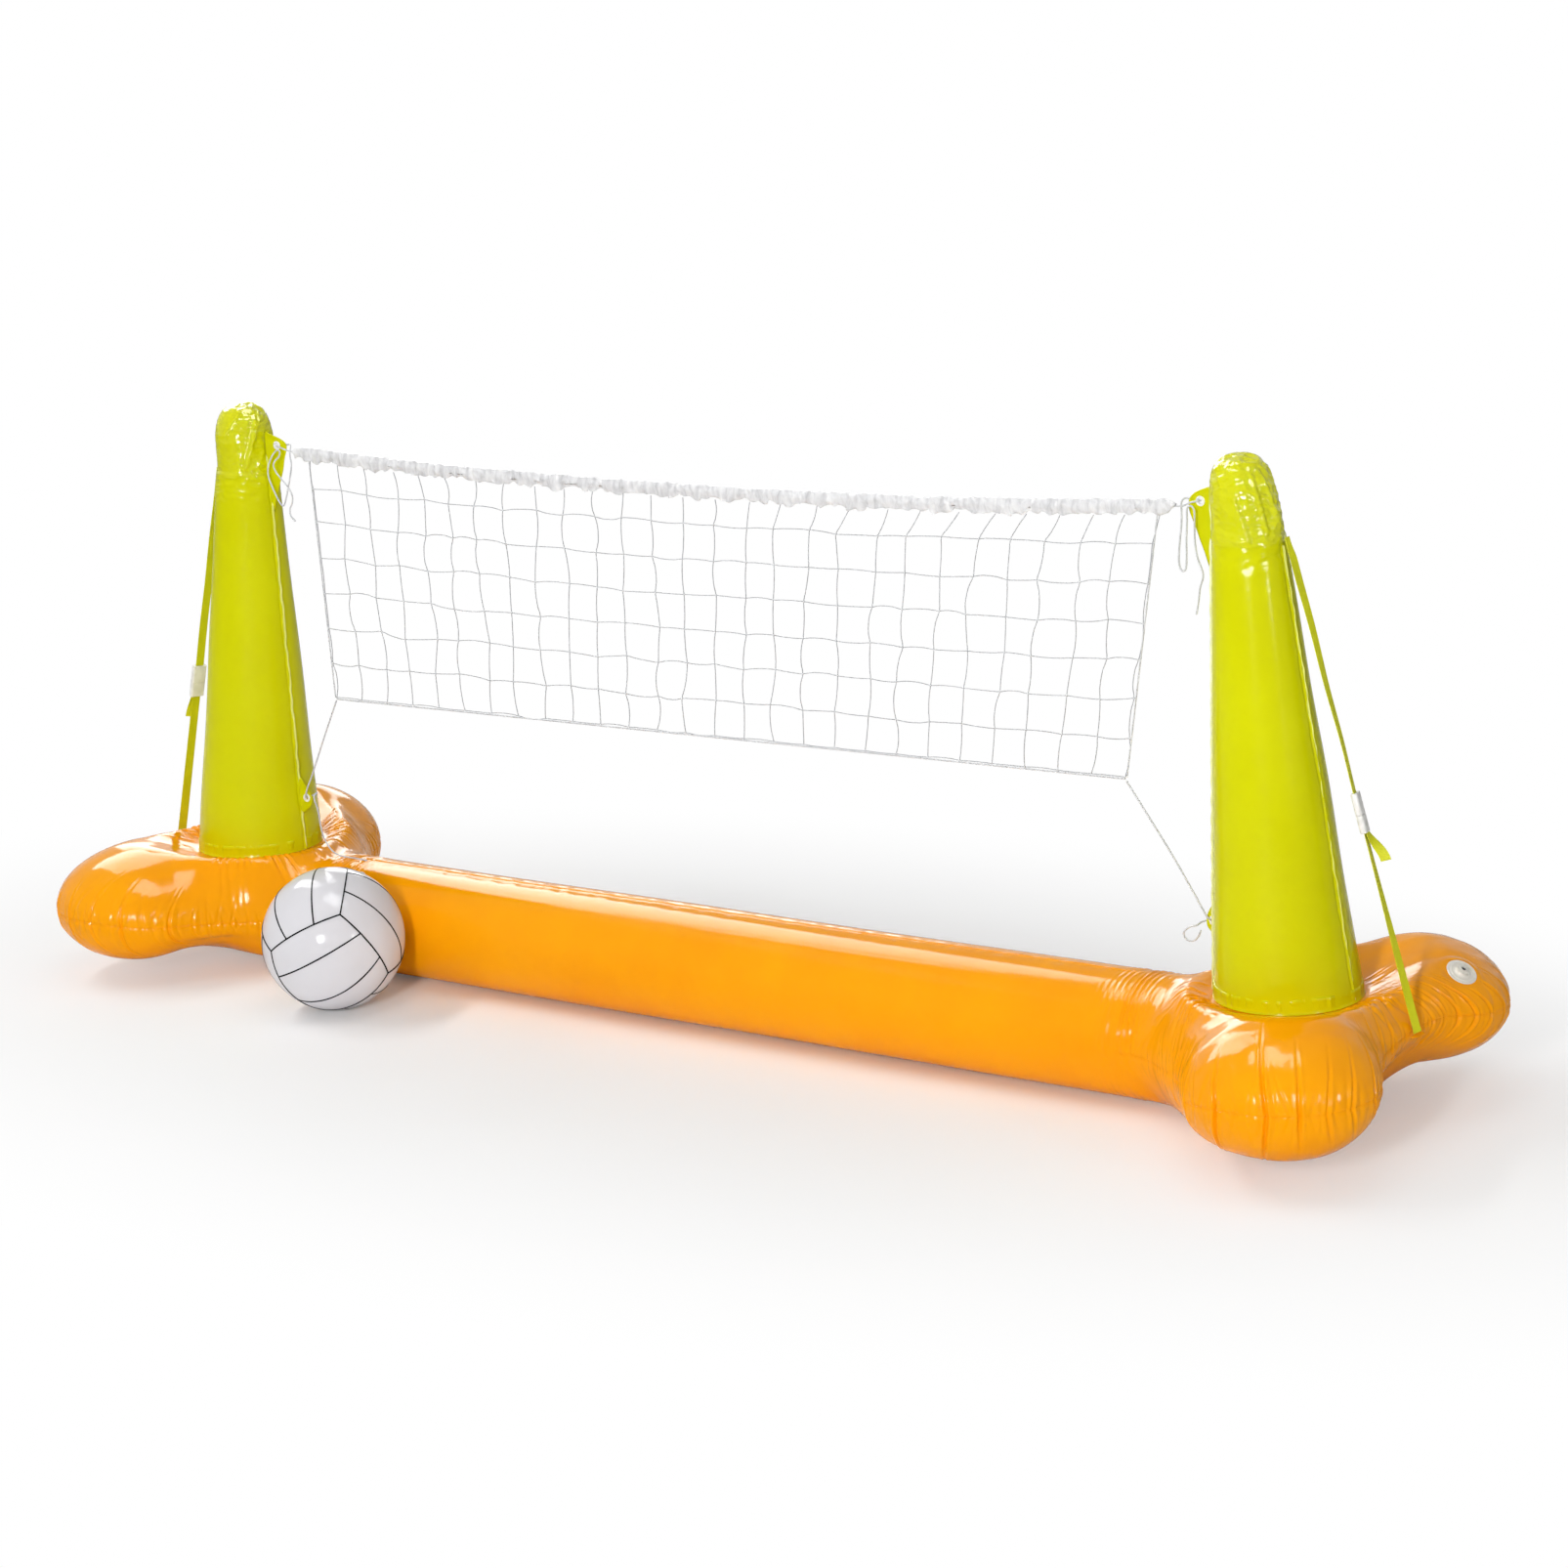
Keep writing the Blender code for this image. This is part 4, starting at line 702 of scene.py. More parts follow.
# Groups of folds that run out from under a post: middle and spread in degrees, count, depth, length
FOOT_FOLDS = [
    (-128, 24, 22, 0.0024, 0.05),
    (128, 24, 18, 0.0022, 0.045),
    (-4, 26, 26, 0.0026, 0.055),
    (-62, 34, 7, 0.0008, 0.025),
    (62, 34, 9, 0.0012, 0.03),
    (180, 22, 8, 0.0012, 0.04),
]


def foot_folds(angles, away, side):
    """Folds that run out from under the post: deep beside the beam and in the notch, shallow elsewhere."""
    chance = random.Random(57 + side)
    shift = np.zeros_like(away)
    for middle, spread, count, depth, length in FOOT_FOLDS:
        for _ in range(count):
            direction = radians(chance.gauss(middle, spread / 2))
            start, reach = chance.uniform(0.0, 0.01), length * chance.uniform(0.35, 1.1)
            slant, width = chance.uniform(-0.45, 0.45), chance.uniform(0.0011, 0.0026)
            arc = turn_from(angles, direction) * (SEAT + 0.5 * reach)
            near = np.abs(arc) < 0.06
            out = away[:, near]
            fade = bell(out - start - reach / 2, reach / 2.4) * ease(out / 0.005)
            shift[:, near] += depth * chance.uniform(0.4, 1.0) * crease(arc[near] - slant * out, width) * fade
    return shift


def seated(points, prefix, radius=0.0225, margin=0.014, sunk=0.0004):
    """The film pressed flat under a valve's rim."""
    place = valve_frame(prefix)
    axes = np.array(place.to_3x3())
    local = (points - np.array(place.translation)) @ axes
    distance = np.hypot(local[..., 0], local[..., 1])
    weight = ease((radius + margin - distance) / margin) * (np.abs(local[..., 2]) < 0.03)
    return points - axes[:, 2] * ((local[..., 2] + sunk) * weight)[..., None]


def build_end(name, side):
    """One end's skin: the upper and the lower sheet, welded along the seam, with their folds."""
    seam = slice(NECK_STEPS, None)
    mirror = np.array([side, 1, 1])
    sheets = []
    for is_upper, rings in ((True, 76), (False, 54)):
        grid, angles = end_sheet(side, is_upper, rings)
        from_seam = distances(grid[::-1])[::-1] * (1 if is_upper else -1)
        outline = distances(grid[-1, seam])
        folds = seam_folds(side, angles[seam], outline)
        away = np.hypot(grid[:, :, 0] - POST_X, grid[:, :, 1]) - SEAT
        grid = pulled(grid, side, is_upper, from_seam)
        normal = outward_normals(grid, np.array([POST_X + 0.03, 0, AXIS_Z + 0.02]))
        shift = np.zeros(grid.shape[:2])
        shift[:, seam] += seam_puckers(outline, from_seam[:, seam], folds)
        # The weld along the seam pulls the film in
        shift[:, seam] -= SEAM_PULL * bell(from_seam[:, seam], 0.0016)
        if is_upper:
            shift += foot_folds(angles, away, side)
        # Rings where the beam is welded on
        along = grid[:, :, 0] - WELD_X
        waves = np.cos((along + 0.006 * ripple(grid, 7.0, 31 + side)) * 2 * pi / NECK_RING_PITCH)
        above = 0.1 + 0.9 * ease((grid[:, :, 2] - AXIS_Z + 0.01) / 0.05)
        shift += 0.0015 * waves * bell(along - 0.012, 0.018) * above * (np.abs(grid[:, :, 1]) < 0.14)
        # Slow waves and small dents of a film that isn't blown up tight
        slack = SLACK[side] * ease(away / 0.03)
        shift += slack * (0.0012 * ripple(grid, 6.0, 41 + side) + 0.00035 * ripple(grid, 26.0, 43 + side))
        shift *= ease(np.abs(along) / 0.01)
        grid = grid + normal * (shift * (grid[:, :, 2] > FLAT_FILM))[:, :, None]
        grid[:, :, 2] = np.maximum(grid[:, :, 2], 0.0)
        if is_upper:
            grid[away <= 1e-6, 2] = POST_FOOT_Z
        sheets.append(grid)
    middle = (sheets[0][-1] + sheets[1][-1]) / 2
    for grid in sheets:
        grid[-1, seam] = middle[seam]
        grid[-1, 0] = middle[0]
    points, faces = tube(sheets[0][-1, NECK_STEPS + 1 :] * mirror, 0.0008, 6)
    mesh_piece(f"{name}_end_weld_lip", points, faces, "orange", "base_film", weld=None)
    for grid, sheet in zip(sheets, ("upper", "lower")):
        points = grid * mirror
        if side > 0 and sheet == "upper":
            points = seated(points, "base_valve")
        node = f"{name}_end_{sheet}"
        faces = grid_faces(*grid.shape[:2]) + [list(range(grid.shape[1]))]
        mesh_piece(f"{node}_skin", points, faces, "orange", "base_film", (node,), weld=2e-6)


BEAM_WELD = radians(92)


def build_beam():
    """The beam's skin, with its lengthwise weld near the top and folds beside both of its ends."""
    end = WELD_X + 0.0004
    share = np.linspace(-1, 1, 420)
    x = end * np.sign(share) * (1 - (1 - np.abs(share)) ** 1.25)
    xx, aa = np.meshgrid(x, BEAM_WELD + packed_turns(120), indexing="ij")
    normal = stacked(0 * xx, np.cos(aa), np.sin(aa))
    grid = stacked(xx, 0 * xx, 0 * xx + AXIS_Z) + BEAM_RADIUS * normal
    from_end = end - np.abs(xx)
    shift = 0.0007 * ripple(grid, 3.0, 51, (0.6, 1, 1))
    wobble = 0.005 * ripple(grid, 8.0, 52)
    upper = 0.3 + 0.7 * ease((np.sin(aa) + 0.3) / 0.8)
    waves = np.cos((from_end + wobble) * 2 * pi / BEAM_RING_PITCH)
    shift += 0.0012 * waves * bell(from_end - 0.004, 0.018) * upper
    for weld, depth in ((BEAM_WELD, 0.0015), (BEAM_WELD - pi, 0.001)):
        arc = BEAM_RADIUS * turn_from(aa, weld) + 0.0006 * ripple(grid, 10.0, 53, (1, 0, 0))
        shift += depth * (-bell(arc, 0.0011) + 0.5 * bell(np.abs(arc) - 0.0032, 0.0014))
        shift += 0.0004 * ripple(grid, 45.0, 54, (1, 0.1, 0.1)) * bell(arc, 0.009)
    grid = grid + normal * (shift * ease(from_end / 0.01))[:, :, None]
    grid[:, :, 2] = np.maximum(grid[:, :, 2], 0.0)
    grid_piece("beam_skin", grid, "orange", "base_film", ("beam_tube",))


# Posts


def post_axis(side, z):
    return POST_X - POST_LEAN[side] * (z - POST_FOOT_Z) / (HEIGHT - POST_FOOT_Z)


def taper(z):
    """Radius of a post up to its crown."""
    share = (z - POST_FOOT_Z) / (CROWN_Z - POST_FOOT_Z)
    return POST_FOOT_RADIUS + (POST_TOP_RADIUS - POST_FOOT_RADIUS) * share


def crown_radius(share):
    return CROWN_RADIUS * np.interp(share, *zip(*CROWN_OUTLINE))


def post_radius(z):
    return taper(z) if z <= CROWN_Z else crown_radius((z - CROWN_Z) / CROWN_HEIGHT)


def inner_side(side, z):
    return post_axis(side, z) - post_radius(z)


def round_post(side, zz, aa):
    """Points on a post's middle line and directions out of it, for grids of heights and angles."""
    outward = stacked(side * np.cos(aa), np.sin(aa), 0 * aa)
    return stacked(side * post_axis(side, zz), 0 * aa, zz), outward


def crumple(points, scale, seed):
    """Ridged noise from 0 to 1: the facets and sharp folds of crushed film."""
    rng = random.Random(seed)
    offset = Vector((rng.uniform(-9, 9), rng.uniform(-9, 9), rng.uniform(-9, 9)))
    flat = points.reshape(-1, 3)
    values = [1 - abs(noise.noise(Vector(p) * scale + offset)) * 2 for p in flat]
    return np.array(values).reshape(points.shape[:-1])


def build_post(name, side):
    low, high = POST_FOOT_Z + 2 * GAP, CROWN_Z - GAP / 2
    zz, aa = np.meshgrid(np.linspace(low, high, 260), packed_turns(168), indexing="ij")
    radius = taper(zz)
    grid, normal = round_post(side, zz, aa)
    grid = grid + normal * radius[:, :, None]
    below = high - zz
    shift = 0.001 * ripple(grid, 4.0, 61 + side) - 0.0004
    dents = crumple(grid * np.array([1, 1, 1.5]), 60.0, 62 + side)
    shift += 0.001 * (dents - 0.6) * bell(below, 0.028)
    shift += 0.0005 * ripple(grid, 70.0, 65 + side, (0.5, 0.5, 1)) * bell(below, 0.024)
    shift += 0.0006 * (crumple(grid, 30.0, 63 + side) - 0.6) * bell(zz - low - 0.022, 0.022)
    for seam in (0.0, pi):
        arc = radius * turn_from(aa, seam) + 0.0007 * np.sin(zz * 63 + 2 * seam)
        shift += 0.0011 * bell(arc, 0.0011) - 0.0009 * bell(np.abs(arc) - 0.0036, 0.0016)
        shift += 0.0005 * ripple(grid, 30.0, 64 + side, (0.1, 0.1, 1)) * bell(arc, 0.01)
    grid = seated(grid + normal * shift[:, :, None], f"{name}_post_valve")
    replaced = (f"{name}_post_front_panel", f"{name}_post_back_panel")
    grid_piece(f"{name}_post_skin", grid, "lime", "post_film", replaced)


# How far each crown's top stands to one side of its post, the angle at which its film is drawn smooth, its
# lift and ceiling, and its long folds: angle and height of both ends, height and width of the fold
CROWN_SWAY = {-1: -0.004, 1: -0.006}
CROWN_GLINT = {-1: 234, 1: 292}
CROWN_LIFT = 0.004
CROWN_CEILING = HEIGHT + 0.006
CROWN_FOLDS = {
    -1: [
        (228, 0.812, 198, 0.884, 0.003, 0.003),
        (214, 0.85, 178, 0.9, 0.0016, 0.002),
        (262, 0.87, 236, 0.9, 0.0014, 0.002),
    ],
    1: [
        (300, 0.8, 284, 0.862, 0.0018, 0.0026),
        (330, 0.822, 322, 0.885, 0.0022, 0.0024),
        (352, 0.84, 345, 0.89, 0.002, 0.0022),
    ],
}


def build_crown(name, side):
    """A post's crushed top. Its edge overlaps the post at the front and melts into it at the inner side."""
    share = 1 - (1 - np.linspace(0, 1, 150)) ** 1.6
    ss, aa = np.meshgrid(share, even_turns(220), indexing="ij")
    radius = crown_radius(ss)
    flush = POST_TOP_RADIUS * (1 - ss) + CROWN_RADIUS * ss
    overlap = ease(0.5 + 1.2 * np.cos(aa - 0.6 * side))
    radius = np.where(ss < 0.3, radius + (flush - radius) * (1 - overlap) * (1 - ss / 0.3), radius)
    grid, outward = round_post(side, CROWN_Z + CROWN_HEIGHT * ss, aa)
    grid[:, :, 0] += CROWN_SWAY[side] * ease((ss - 0.15) / 0.75)
    grid[:, :, 2] += CROWN_LIFT * ease((ss - 0.4) / 0.6)
    zz = grid[:, :, 2].copy()
    grid = grid + outward * radius[:, :, None]
    centre = np.array([side * post_axis(side, CROWN_Z + 0.05), 0, CROWN_Z + 0.05])
    normal = outward_normals(grid, centre)
    away = np.cos(aa + 0.75) if side > 0 else np.cos(2 * aa - 0.6)
    rough = 0.15 + 0.85 * ease(0.55 + 1.1 * away + 0.6 * (ss - 0.72))
    layers = 0.0
    for depth, flat, scale, seed in ((0.0022, 0.6, 30, 71), (0.0019, 1.5, 60, 73), (0.0005, 1.3, 115, 75)):
        layers = layers + depth * (crumple(grid * np.array([1, 1, flat]), scale, seed + side) - 0.72)
    # Where the film faces the front light it is drawn smooth across, in a ladder of small waves
    facing = bell(turn_from(aa, radians(CROWN_GLINT[side])), 0.3)
    facing = facing * ease((ss - 0.08) / 0.15) * ease((0.95 - ss) / 0.2)
    shift = layers * rough * (1 - 0.75 * facing) + 0.0009 * ripple(grid, 14.0, 74 + side)
    shift += 0.0008 * ripple(grid, 62.0, 76 + side, (0.35, 0.35, 1)) * facing + 0.0008
    for start, low, end, high, height, width in CROWN_FOLDS[side]:
        share_up = np.clip((zz - low) / (high - low), 0.0, 1.0)
        arc = radius * turn_from(aa, np.radians(start + (end - start) * share_up))
        beyond = np.maximum(np.maximum(low - zz, zz - high), 0.0)
        shift += height * (bell(arc, width) - 0.5 * bell(arc - 2 * width, width)) * bell(beyond, 0.004)
    # One tall fold at the outer side, over the strap's anchor
    shift += 0.0055 * bell(radius * turn_from(aa, 0) + 0.002, 0.006) * bell(ss - 0.3, 0.24)
    shift = shift * ease(ss / 0.05) * np.where(radius < 0.008, radius / 0.008, 1.0)
    grid = grid + normal * shift[:, :, None]
    grid[:, :, 2] = np.minimum(grid[:, :, 2], CROWN_CEILING)
    grid = np.concatenate([grid[:1] - (0, 0, 0.0015), grid])
    replaced = (f"{name}_post_crown",)
    grid_piece(f"{name}_crown_skin", grid, "crinkled", "post_film", replaced, weld=2e-5)


def build_post_seams(name, side):
    """The pale welded lips that run up a post at its inner and outer side, the right inner one partly painted
    highlight.
    """
    low = POST_FOOT_Z + 0.004
    # The right inner lip's near-white material is partly a painted highlight along the post's edge
    inner = ("inner", 203.0 if side > 0 else 180.0, 0.0014, 0.0026, 0.062, "seam" if side > 0 else "line")
    outer = ("outer", 0.0, 0.0005, 0.001, -0.004, "line")
    for edge, degrees, width, stand, above, material in (inner, outer):
        angle = radians(degrees)
        points = []
        for z in np.linspace(low, CROWN_Z + above, 301):
            out = post_radius(z) + stand + 0.0004 * sin(z * 240 + side)
            out += 0.0 if z < CROWN_Z else 0.0006
            sway = 0.0007 * sin(z * 63 + 2 * angle) + 0.0005 * sin(z * 171)
            for y, lift in ((-1, -0.003), (-0.8, 0.0), (0, 0.0004), (0.8, 0.0), (1, -0.003)):
                along, aside = out + lift, sway + y * width
                x = post_axis(side, z) + along * cos(angle) - aside * sin(angle)
                points.append((side * x, along * sin(angle) + aside * cos(angle), z))
        faces = capped_faces(301, 5)
        mesh_piece(f"{name}_post_{edge}_seam", points, faces, material, "post_film", weld=None)


def build_foot_band(name, side):
    """The welded strip round a post's foot, its upper edge a little wavy and puckered."""
    tt, aa = np.meshgrid(np.linspace(0, 1, 12), even_turns(260), indexing="ij")
    ring = stacked(np.cos(aa), np.sin(aa), 0 * aa)
    zz = POST_FOOT_Z + GAP + FOOT_BAND_HEIGHT * (1 + 0.1 * ripple(ring, 0.9, 81 + side)) * tt
    puckers = 0.0007 * ripple(ring, 7.0, 83 + side) + 0.0004 * ripple(ring, 17.0, 84 + side)
    radius = taper(zz) + 0.0004 + 1.4 * puckers * ease(tt * 2)
    radius = radius + 0.0007 * bell(tt - 0.8, 0.07) + 0.0012 * bell(tt, 0.1)
    grid, outward = round_post(side, zz, aa)
    grid = grid + outward * radius[:, :, None]
    inward = np.array([side * POST_X, 0, 0]) - grid[-1:]
    inward[:, :, 2] = 0
    grid = np.concatenate([grid, grid[-1:] + unit(inward) * 0.0022])
    grid_piece(f"{name}_foot_band_skin", grid, "lime", "post_film", (f"{name}_post_foot_band",))


# Ears and eyelets


def top_eyelet_x(side):
    return inner_side(side, EYELET_Z) - EYELET_REACH


def low_eyelet_x(side):
    return inner_side(side, LOW_EYELET_Z) - LOW_EYELET_REACH


def rounded(outline, step):
    """A closed outline of (x, z) points with its corners softened and its points a step apart."""
    points = np.array(outline)
    for _ in range(3):
        after = np.roll(points, -1, axis=0)
        cuts = [points + (after - points) * share for share in (0.22, 0.78)]
        points = np.stack(cuts, axis=1).reshape(-1, 2)
    loop = np.concatenate([points, points[:1]])
    return spaced(loop, max(24, int(distances(loop)[-1] / step)), endpoint=False)


def ear_piece(name, outline, hole, side, node):
    """A welded film ear: rings from its edge in to the eyelet's hole, with a raised weld along the edge."""
    rim = rounded(outline, 0.002)
    centre = np.array(hole)
    rings = [0.0, 0.1, 0.18, 0.26, 0.38, 0.52, 0.66, 0.8, 0.9, 1.0]
    rows, count = len(rings), len(rim)
    inner = centre + unit(rim - centre) * 0.0042
    sheets = []
    for face in (-1, 1):
        for t in rings:
            x, z = (rim + (inner - rim) * t).T
            edge = 0.0 if t == 0 else 0.0004 + 0.0007 * exp(-(((t - 0.14) / 0.07) ** 2))
            curl = 0.0018 * ripple(stacked(x, 0 * x, z), 22.0, 91) * (1 - t)
            sheets.append(stacked(side * x, curl + face * edge, z))
    last = (rows - 1) * count
    faces = grid_faces(rows, count) + grid_faces(rows, count, rows * count)
    for k in range(count):
        here, after = last + k, last + (k + 1) % count
        faces.append((here, after, after + rows * count, here + rows * count))
    mesh_piece(name, np.concatenate(sheets), faces, "lime", "post_film", (node,), weld=1e-5)


def turned(profile, segments, placement):
    """Points and faces of a closed profile of (radius, height) points turned about local Z."""
    points, count = [], len(profile)
    for angle in even_turns(segments):
        for radius, height in profile:
            points.append(placement @ Vector((radius * cos(angle), radius * sin(angle), height)))
    faces = []
    for k in range(segments):
        n = (k + 1) % segments
        for i in range(count):
            j = (i + 1) % count
            faces.append((k * count + i, k * count + j, n * count + j, n * count + i))
    return points, faces


# Outer edges of the ears in millimetres from their eyelets, and points of their seam with the post
TOP_EAR_EDGE = [(-13.3, -26), (-20.3, -8), (-18.9, 3), (-6.3, 13)]
LOW_EAR_EDGE = [(-10.5, -12), (-11.5, 2), (-7, 14)]


def build_ears(name, side):
    half_turn = np.linspace(0, pi, 10)
    bulge = [(0.0054 + 0.0016 * cos(a), 0.0008 + 0.001 * sin(a)) for a in half_turn]
    profile = [(0.0036, -0.0014), (0.0036, 0.0014)] + bulge[::-1] + [(r, -z) for r, z in bulge]
    ears = (
        ("top", top_eyelet_x(side), EYELET_Z, EAR_RISE, EAR_FALL, 12, TOP_EAR_EDGE),
        ("bottom", low_eyelet_x(side), LOW_EYELET_Z, LOW_EAR_RISE, LOW_EAR_FALL, 8, LOW_EAR_EDGE),
    )
    for level, x, z, rise, fall, count, edge in ears:
        outline = [(x + dx / 1000, z + dz / 1000) for dx, dz in edge]
        outline += [(inner_side(side, high) - GAP, high) for high in np.linspace(z + rise, z - fall, count)]
        ear_piece(f"{name}_{level}_ear_film", outline, (x, z), side, f"{name}_post_{level}_ear")
    for level, x, z, *_ in ears:
        placement = Matrix.Translation((side * x, 0, z)) @ Matrix.Rotation(pi / 2, 4, "X")
        node = f"{name}_{level}_eyelet"
        ring = turned(profile, 40, placement)
        mesh_piece(f"{node}_ring", *ring, "eyelet", "eyelet", (node,), sharp=50)


# Net


def net_x(across, left, right):
    return -left + (left + right) * across


def band_x(across):
    return net_x(across, top_eyelet_x(-1) - BAND_CLEAR, top_eyelet_x(1) - BAND_CLEAR)


def band_z(x):
    share = min(abs(x) / band_x(1.0), 1.0)
    return EYELET_Z - BAND_DROP - BAND_SAG * (1 - share**2.5)


def net_point(column, row):
    across = column / COLUMNS
    cut_off = 1 - TOP_ROW_SHARE
    down = max(row - cut_off, 0.0) / (ROWS - cut_off)
    left, right = top_eyelet_x(-1), top_eyelet_x(1)
    top_x = net_x(across, left - NET_TOP_INSET, right - NET_TOP_INSET)
    bottom_x = net_x(across, left - NET_BOTTOM_INSET[-1], right - NET_BOTTOM_INSET[1])
    top_z = band_z(top_x) - BAND_HEIGHT / 2 - GAP - STRAND / 2
    bottom_z = NET_BOTTOM_Z[-1] + (NET_BOTTOM_Z[1] - NET_BOTTOM_Z[-1]) * across
    return top_x + (bottom_x - top_x) * down, top_z + (bottom_z - top_z) * down


SHOWN_STRAND = 0.0014
ROPE_TWIST = 85.0
ROPE_RADIUS = 0.0012


def build_net():
    """Strands as thin cords that wander a little between their knots, and a knot at each crossing."""
    chance = random.Random(5)
    knots = {}
    slack = {}
    for column in range(COLUMNS + 1):
        lean = 0.0
        for row in range(ROWS + 1):
            x, z = net_point(column, row)
            inside = 0 < column < COLUMNS
            lean = 0.7 * lean + chance.gauss(0, 0.0028)
            dx = lean if inside and row < ROWS else 0.0
            if row == 0:
                dx += 0.026 * exp(-(((column / COLUMNS - 0.8) / 0.17) ** 2))
            dz = chance.gauss(0, 0.0016) if 0 < row < ROWS else 0.0
            dy = chance.gauss(0, 0.0022) if inside and 0 < row < ROWS else 0.0
            knots[column, row] = Vector((x + dx, dy, z + dz))
            slack[column, row] = chance.gauss(0, 0.0018)
    parts = []

    def strand(names, towards):
        route = []
        for a, b in zip(names, names[1:]):
            route.append(knots[a])
            bow = slack[a] * Vector(towards)
            route += [knots[a].lerp(knots[b], t) + bow * sin(pi * t) for t in (0.3, 0.7)]
        parts.append(tube(smooth_route(route + [knots[names[-1]]], 0.006), SHOWN_STRAND / 2, 6))

    for column in range(COLUMNS + 1):
        strand([(column, row) for row in range(ROWS + 1)], (1, 0.5, 0))
    for row in range(1, ROWS + 1):
        strand([(column, row) for column in range(COLUMNS + 1)], (0, 0.5, -1))
    mesh_piece("net_strands", *joined(parts), "strand", "net_cord", ("net_mesh",), weld=None)
    ball = bmesh.new()
    bmesh.ops.create_icosphere(ball, subdivisions=2, radius=1)
    faces = [[v.index for v in f.verts] for f in ball.faces]
    lump = []
    for x, y, z in (v.co for v in ball.verts):
        bend = 1 + 0.22 * sin(5 * atan2(z, x) + 9 * y)
        lump.append(Vector((x, 0.8 * y, 0.72 * z)) * bend)
    ball.free()
    lumps = []
    for (column, row), place in knots.items():
        if row > 0:
            turn = Matrix.Rotation(chance.uniform(0, pi), 4, "Y")
            size = SHOWN_STRAND * chance.uniform(0.9, 1.3)
            lumps.append(([place + turn @ (p * size) for p in lump], faces))
    mesh_piece("net_knots", *joined(lumps), "cord", "net_cord", weld=None)


def build_headband():
    """The gathered sleeve of thin tape: low pleats and crinkles along the cord, with uneven edges."""
    x = np.array([band_x(t) for t in np.linspace(0, 1, 1150)])
    xx, aa = np.meshgrid(x, even_turns(28), indexing="ij")
    zz = 0 * aa + np.array([band_z(v) for v in x])[:, None]
    line = stacked(x, 0 * x, 0 * x)
    pleats = 0.55 * ripple(line, 95.0, 101) + 0.45 * ripple(line, 38.0, 102)
    tall = 1 + 0.06 * ripple(line, 60.0, 103) + 0.1 * ripple(line, 14.0, 104)
    tall = tall * (0.35 + 0.65 * ease((x[-1] - np.abs(x)) / 0.016))
    depth = 0.0016 + 0.0006 * ripple(line, 50.0, 105)
    up, front = np.sin(aa), np.cos(aa)
    height = BAND_HEIGHT / 2 * tall[:, None] * np.sign(up) * np.abs(up) ** 0.8
    yy = depth[:, None] * np.sign(front) * np.abs(front) ** 0.6
    height -= 0.003 * (ripple(line, 42.0, 107)[:, None] + 0.4) * (up < -0.3)
    tape = stacked(xx, yy, zz + height)
    yy = yy + 0.0006 * pleats[:, None] * (0.5 + 0.5 * np.abs(up)) + 0.0006 * ripple(tape, 110.0, 108)
    # The tape bulges over the cord inside it
    yy = yy + 0.0014 * bell(height, 0.0035) * np.sign(front)
    grid = stacked(xx + 0.0022 * ripple(tape, 45.0, 106), yy, zz + height)
    grid_piece("headband_tape", grid, "tape", "band_tape", ("headband",))


def top_cord_end(side):
    return top_eyelet_x(side) - BAND_CLEAR + CORD_SHOWING


def rope_piece(name, path, node, fuzz=0.0):
    """A laid cord of three strands along a path of (x, z) points."""
    fine = smooth_route([(x, 0.0, z) for x, z in path], 0.0016)
    chance = random.Random(len(fine))
    radii = [ROPE_RADIUS * (1 + fuzz * chance.uniform(-1, 1)) for _ in fine]
    points, faces = tube(fine, radii, 12, ROPE_TWIST, 0.28)
    mesh_piece(name, points, faces, "cord", "net_cord", (node,), weld=None)


def build_border_cords():
    spacing = STRAND / 2 + CORD_RADIUS + GAP
    rail = [net_x(i / 14, top_cord_end(-1), top_cord_end(1)) for i in range(15)]
    rope_piece("top_rope", [(x, band_z(x)) for x in rail], "top_cord")
    bottom = [net_point(column, ROWS) for column in range(COLUMNS + 1)]
    rope_piece("bottom_rope", [(x, z - spacing) for x, z in bottom], "bottom_cord", 0.12)
    for name, side in SIDES.items():
        edge = [net_point(COLUMNS if side > 0 else 0, row) for row in range(ROWS + 1)]
        lean = (edge[-1][0] - edge[0][0]) / (edge[0][1] - edge[-1][1])
        shift = side * spacing * hypot(1, lean)
        rope_piece(f"{name}_side_rope", [(x + shift, z) for x, z in edge], f"{name}_side_cord", 0.15)


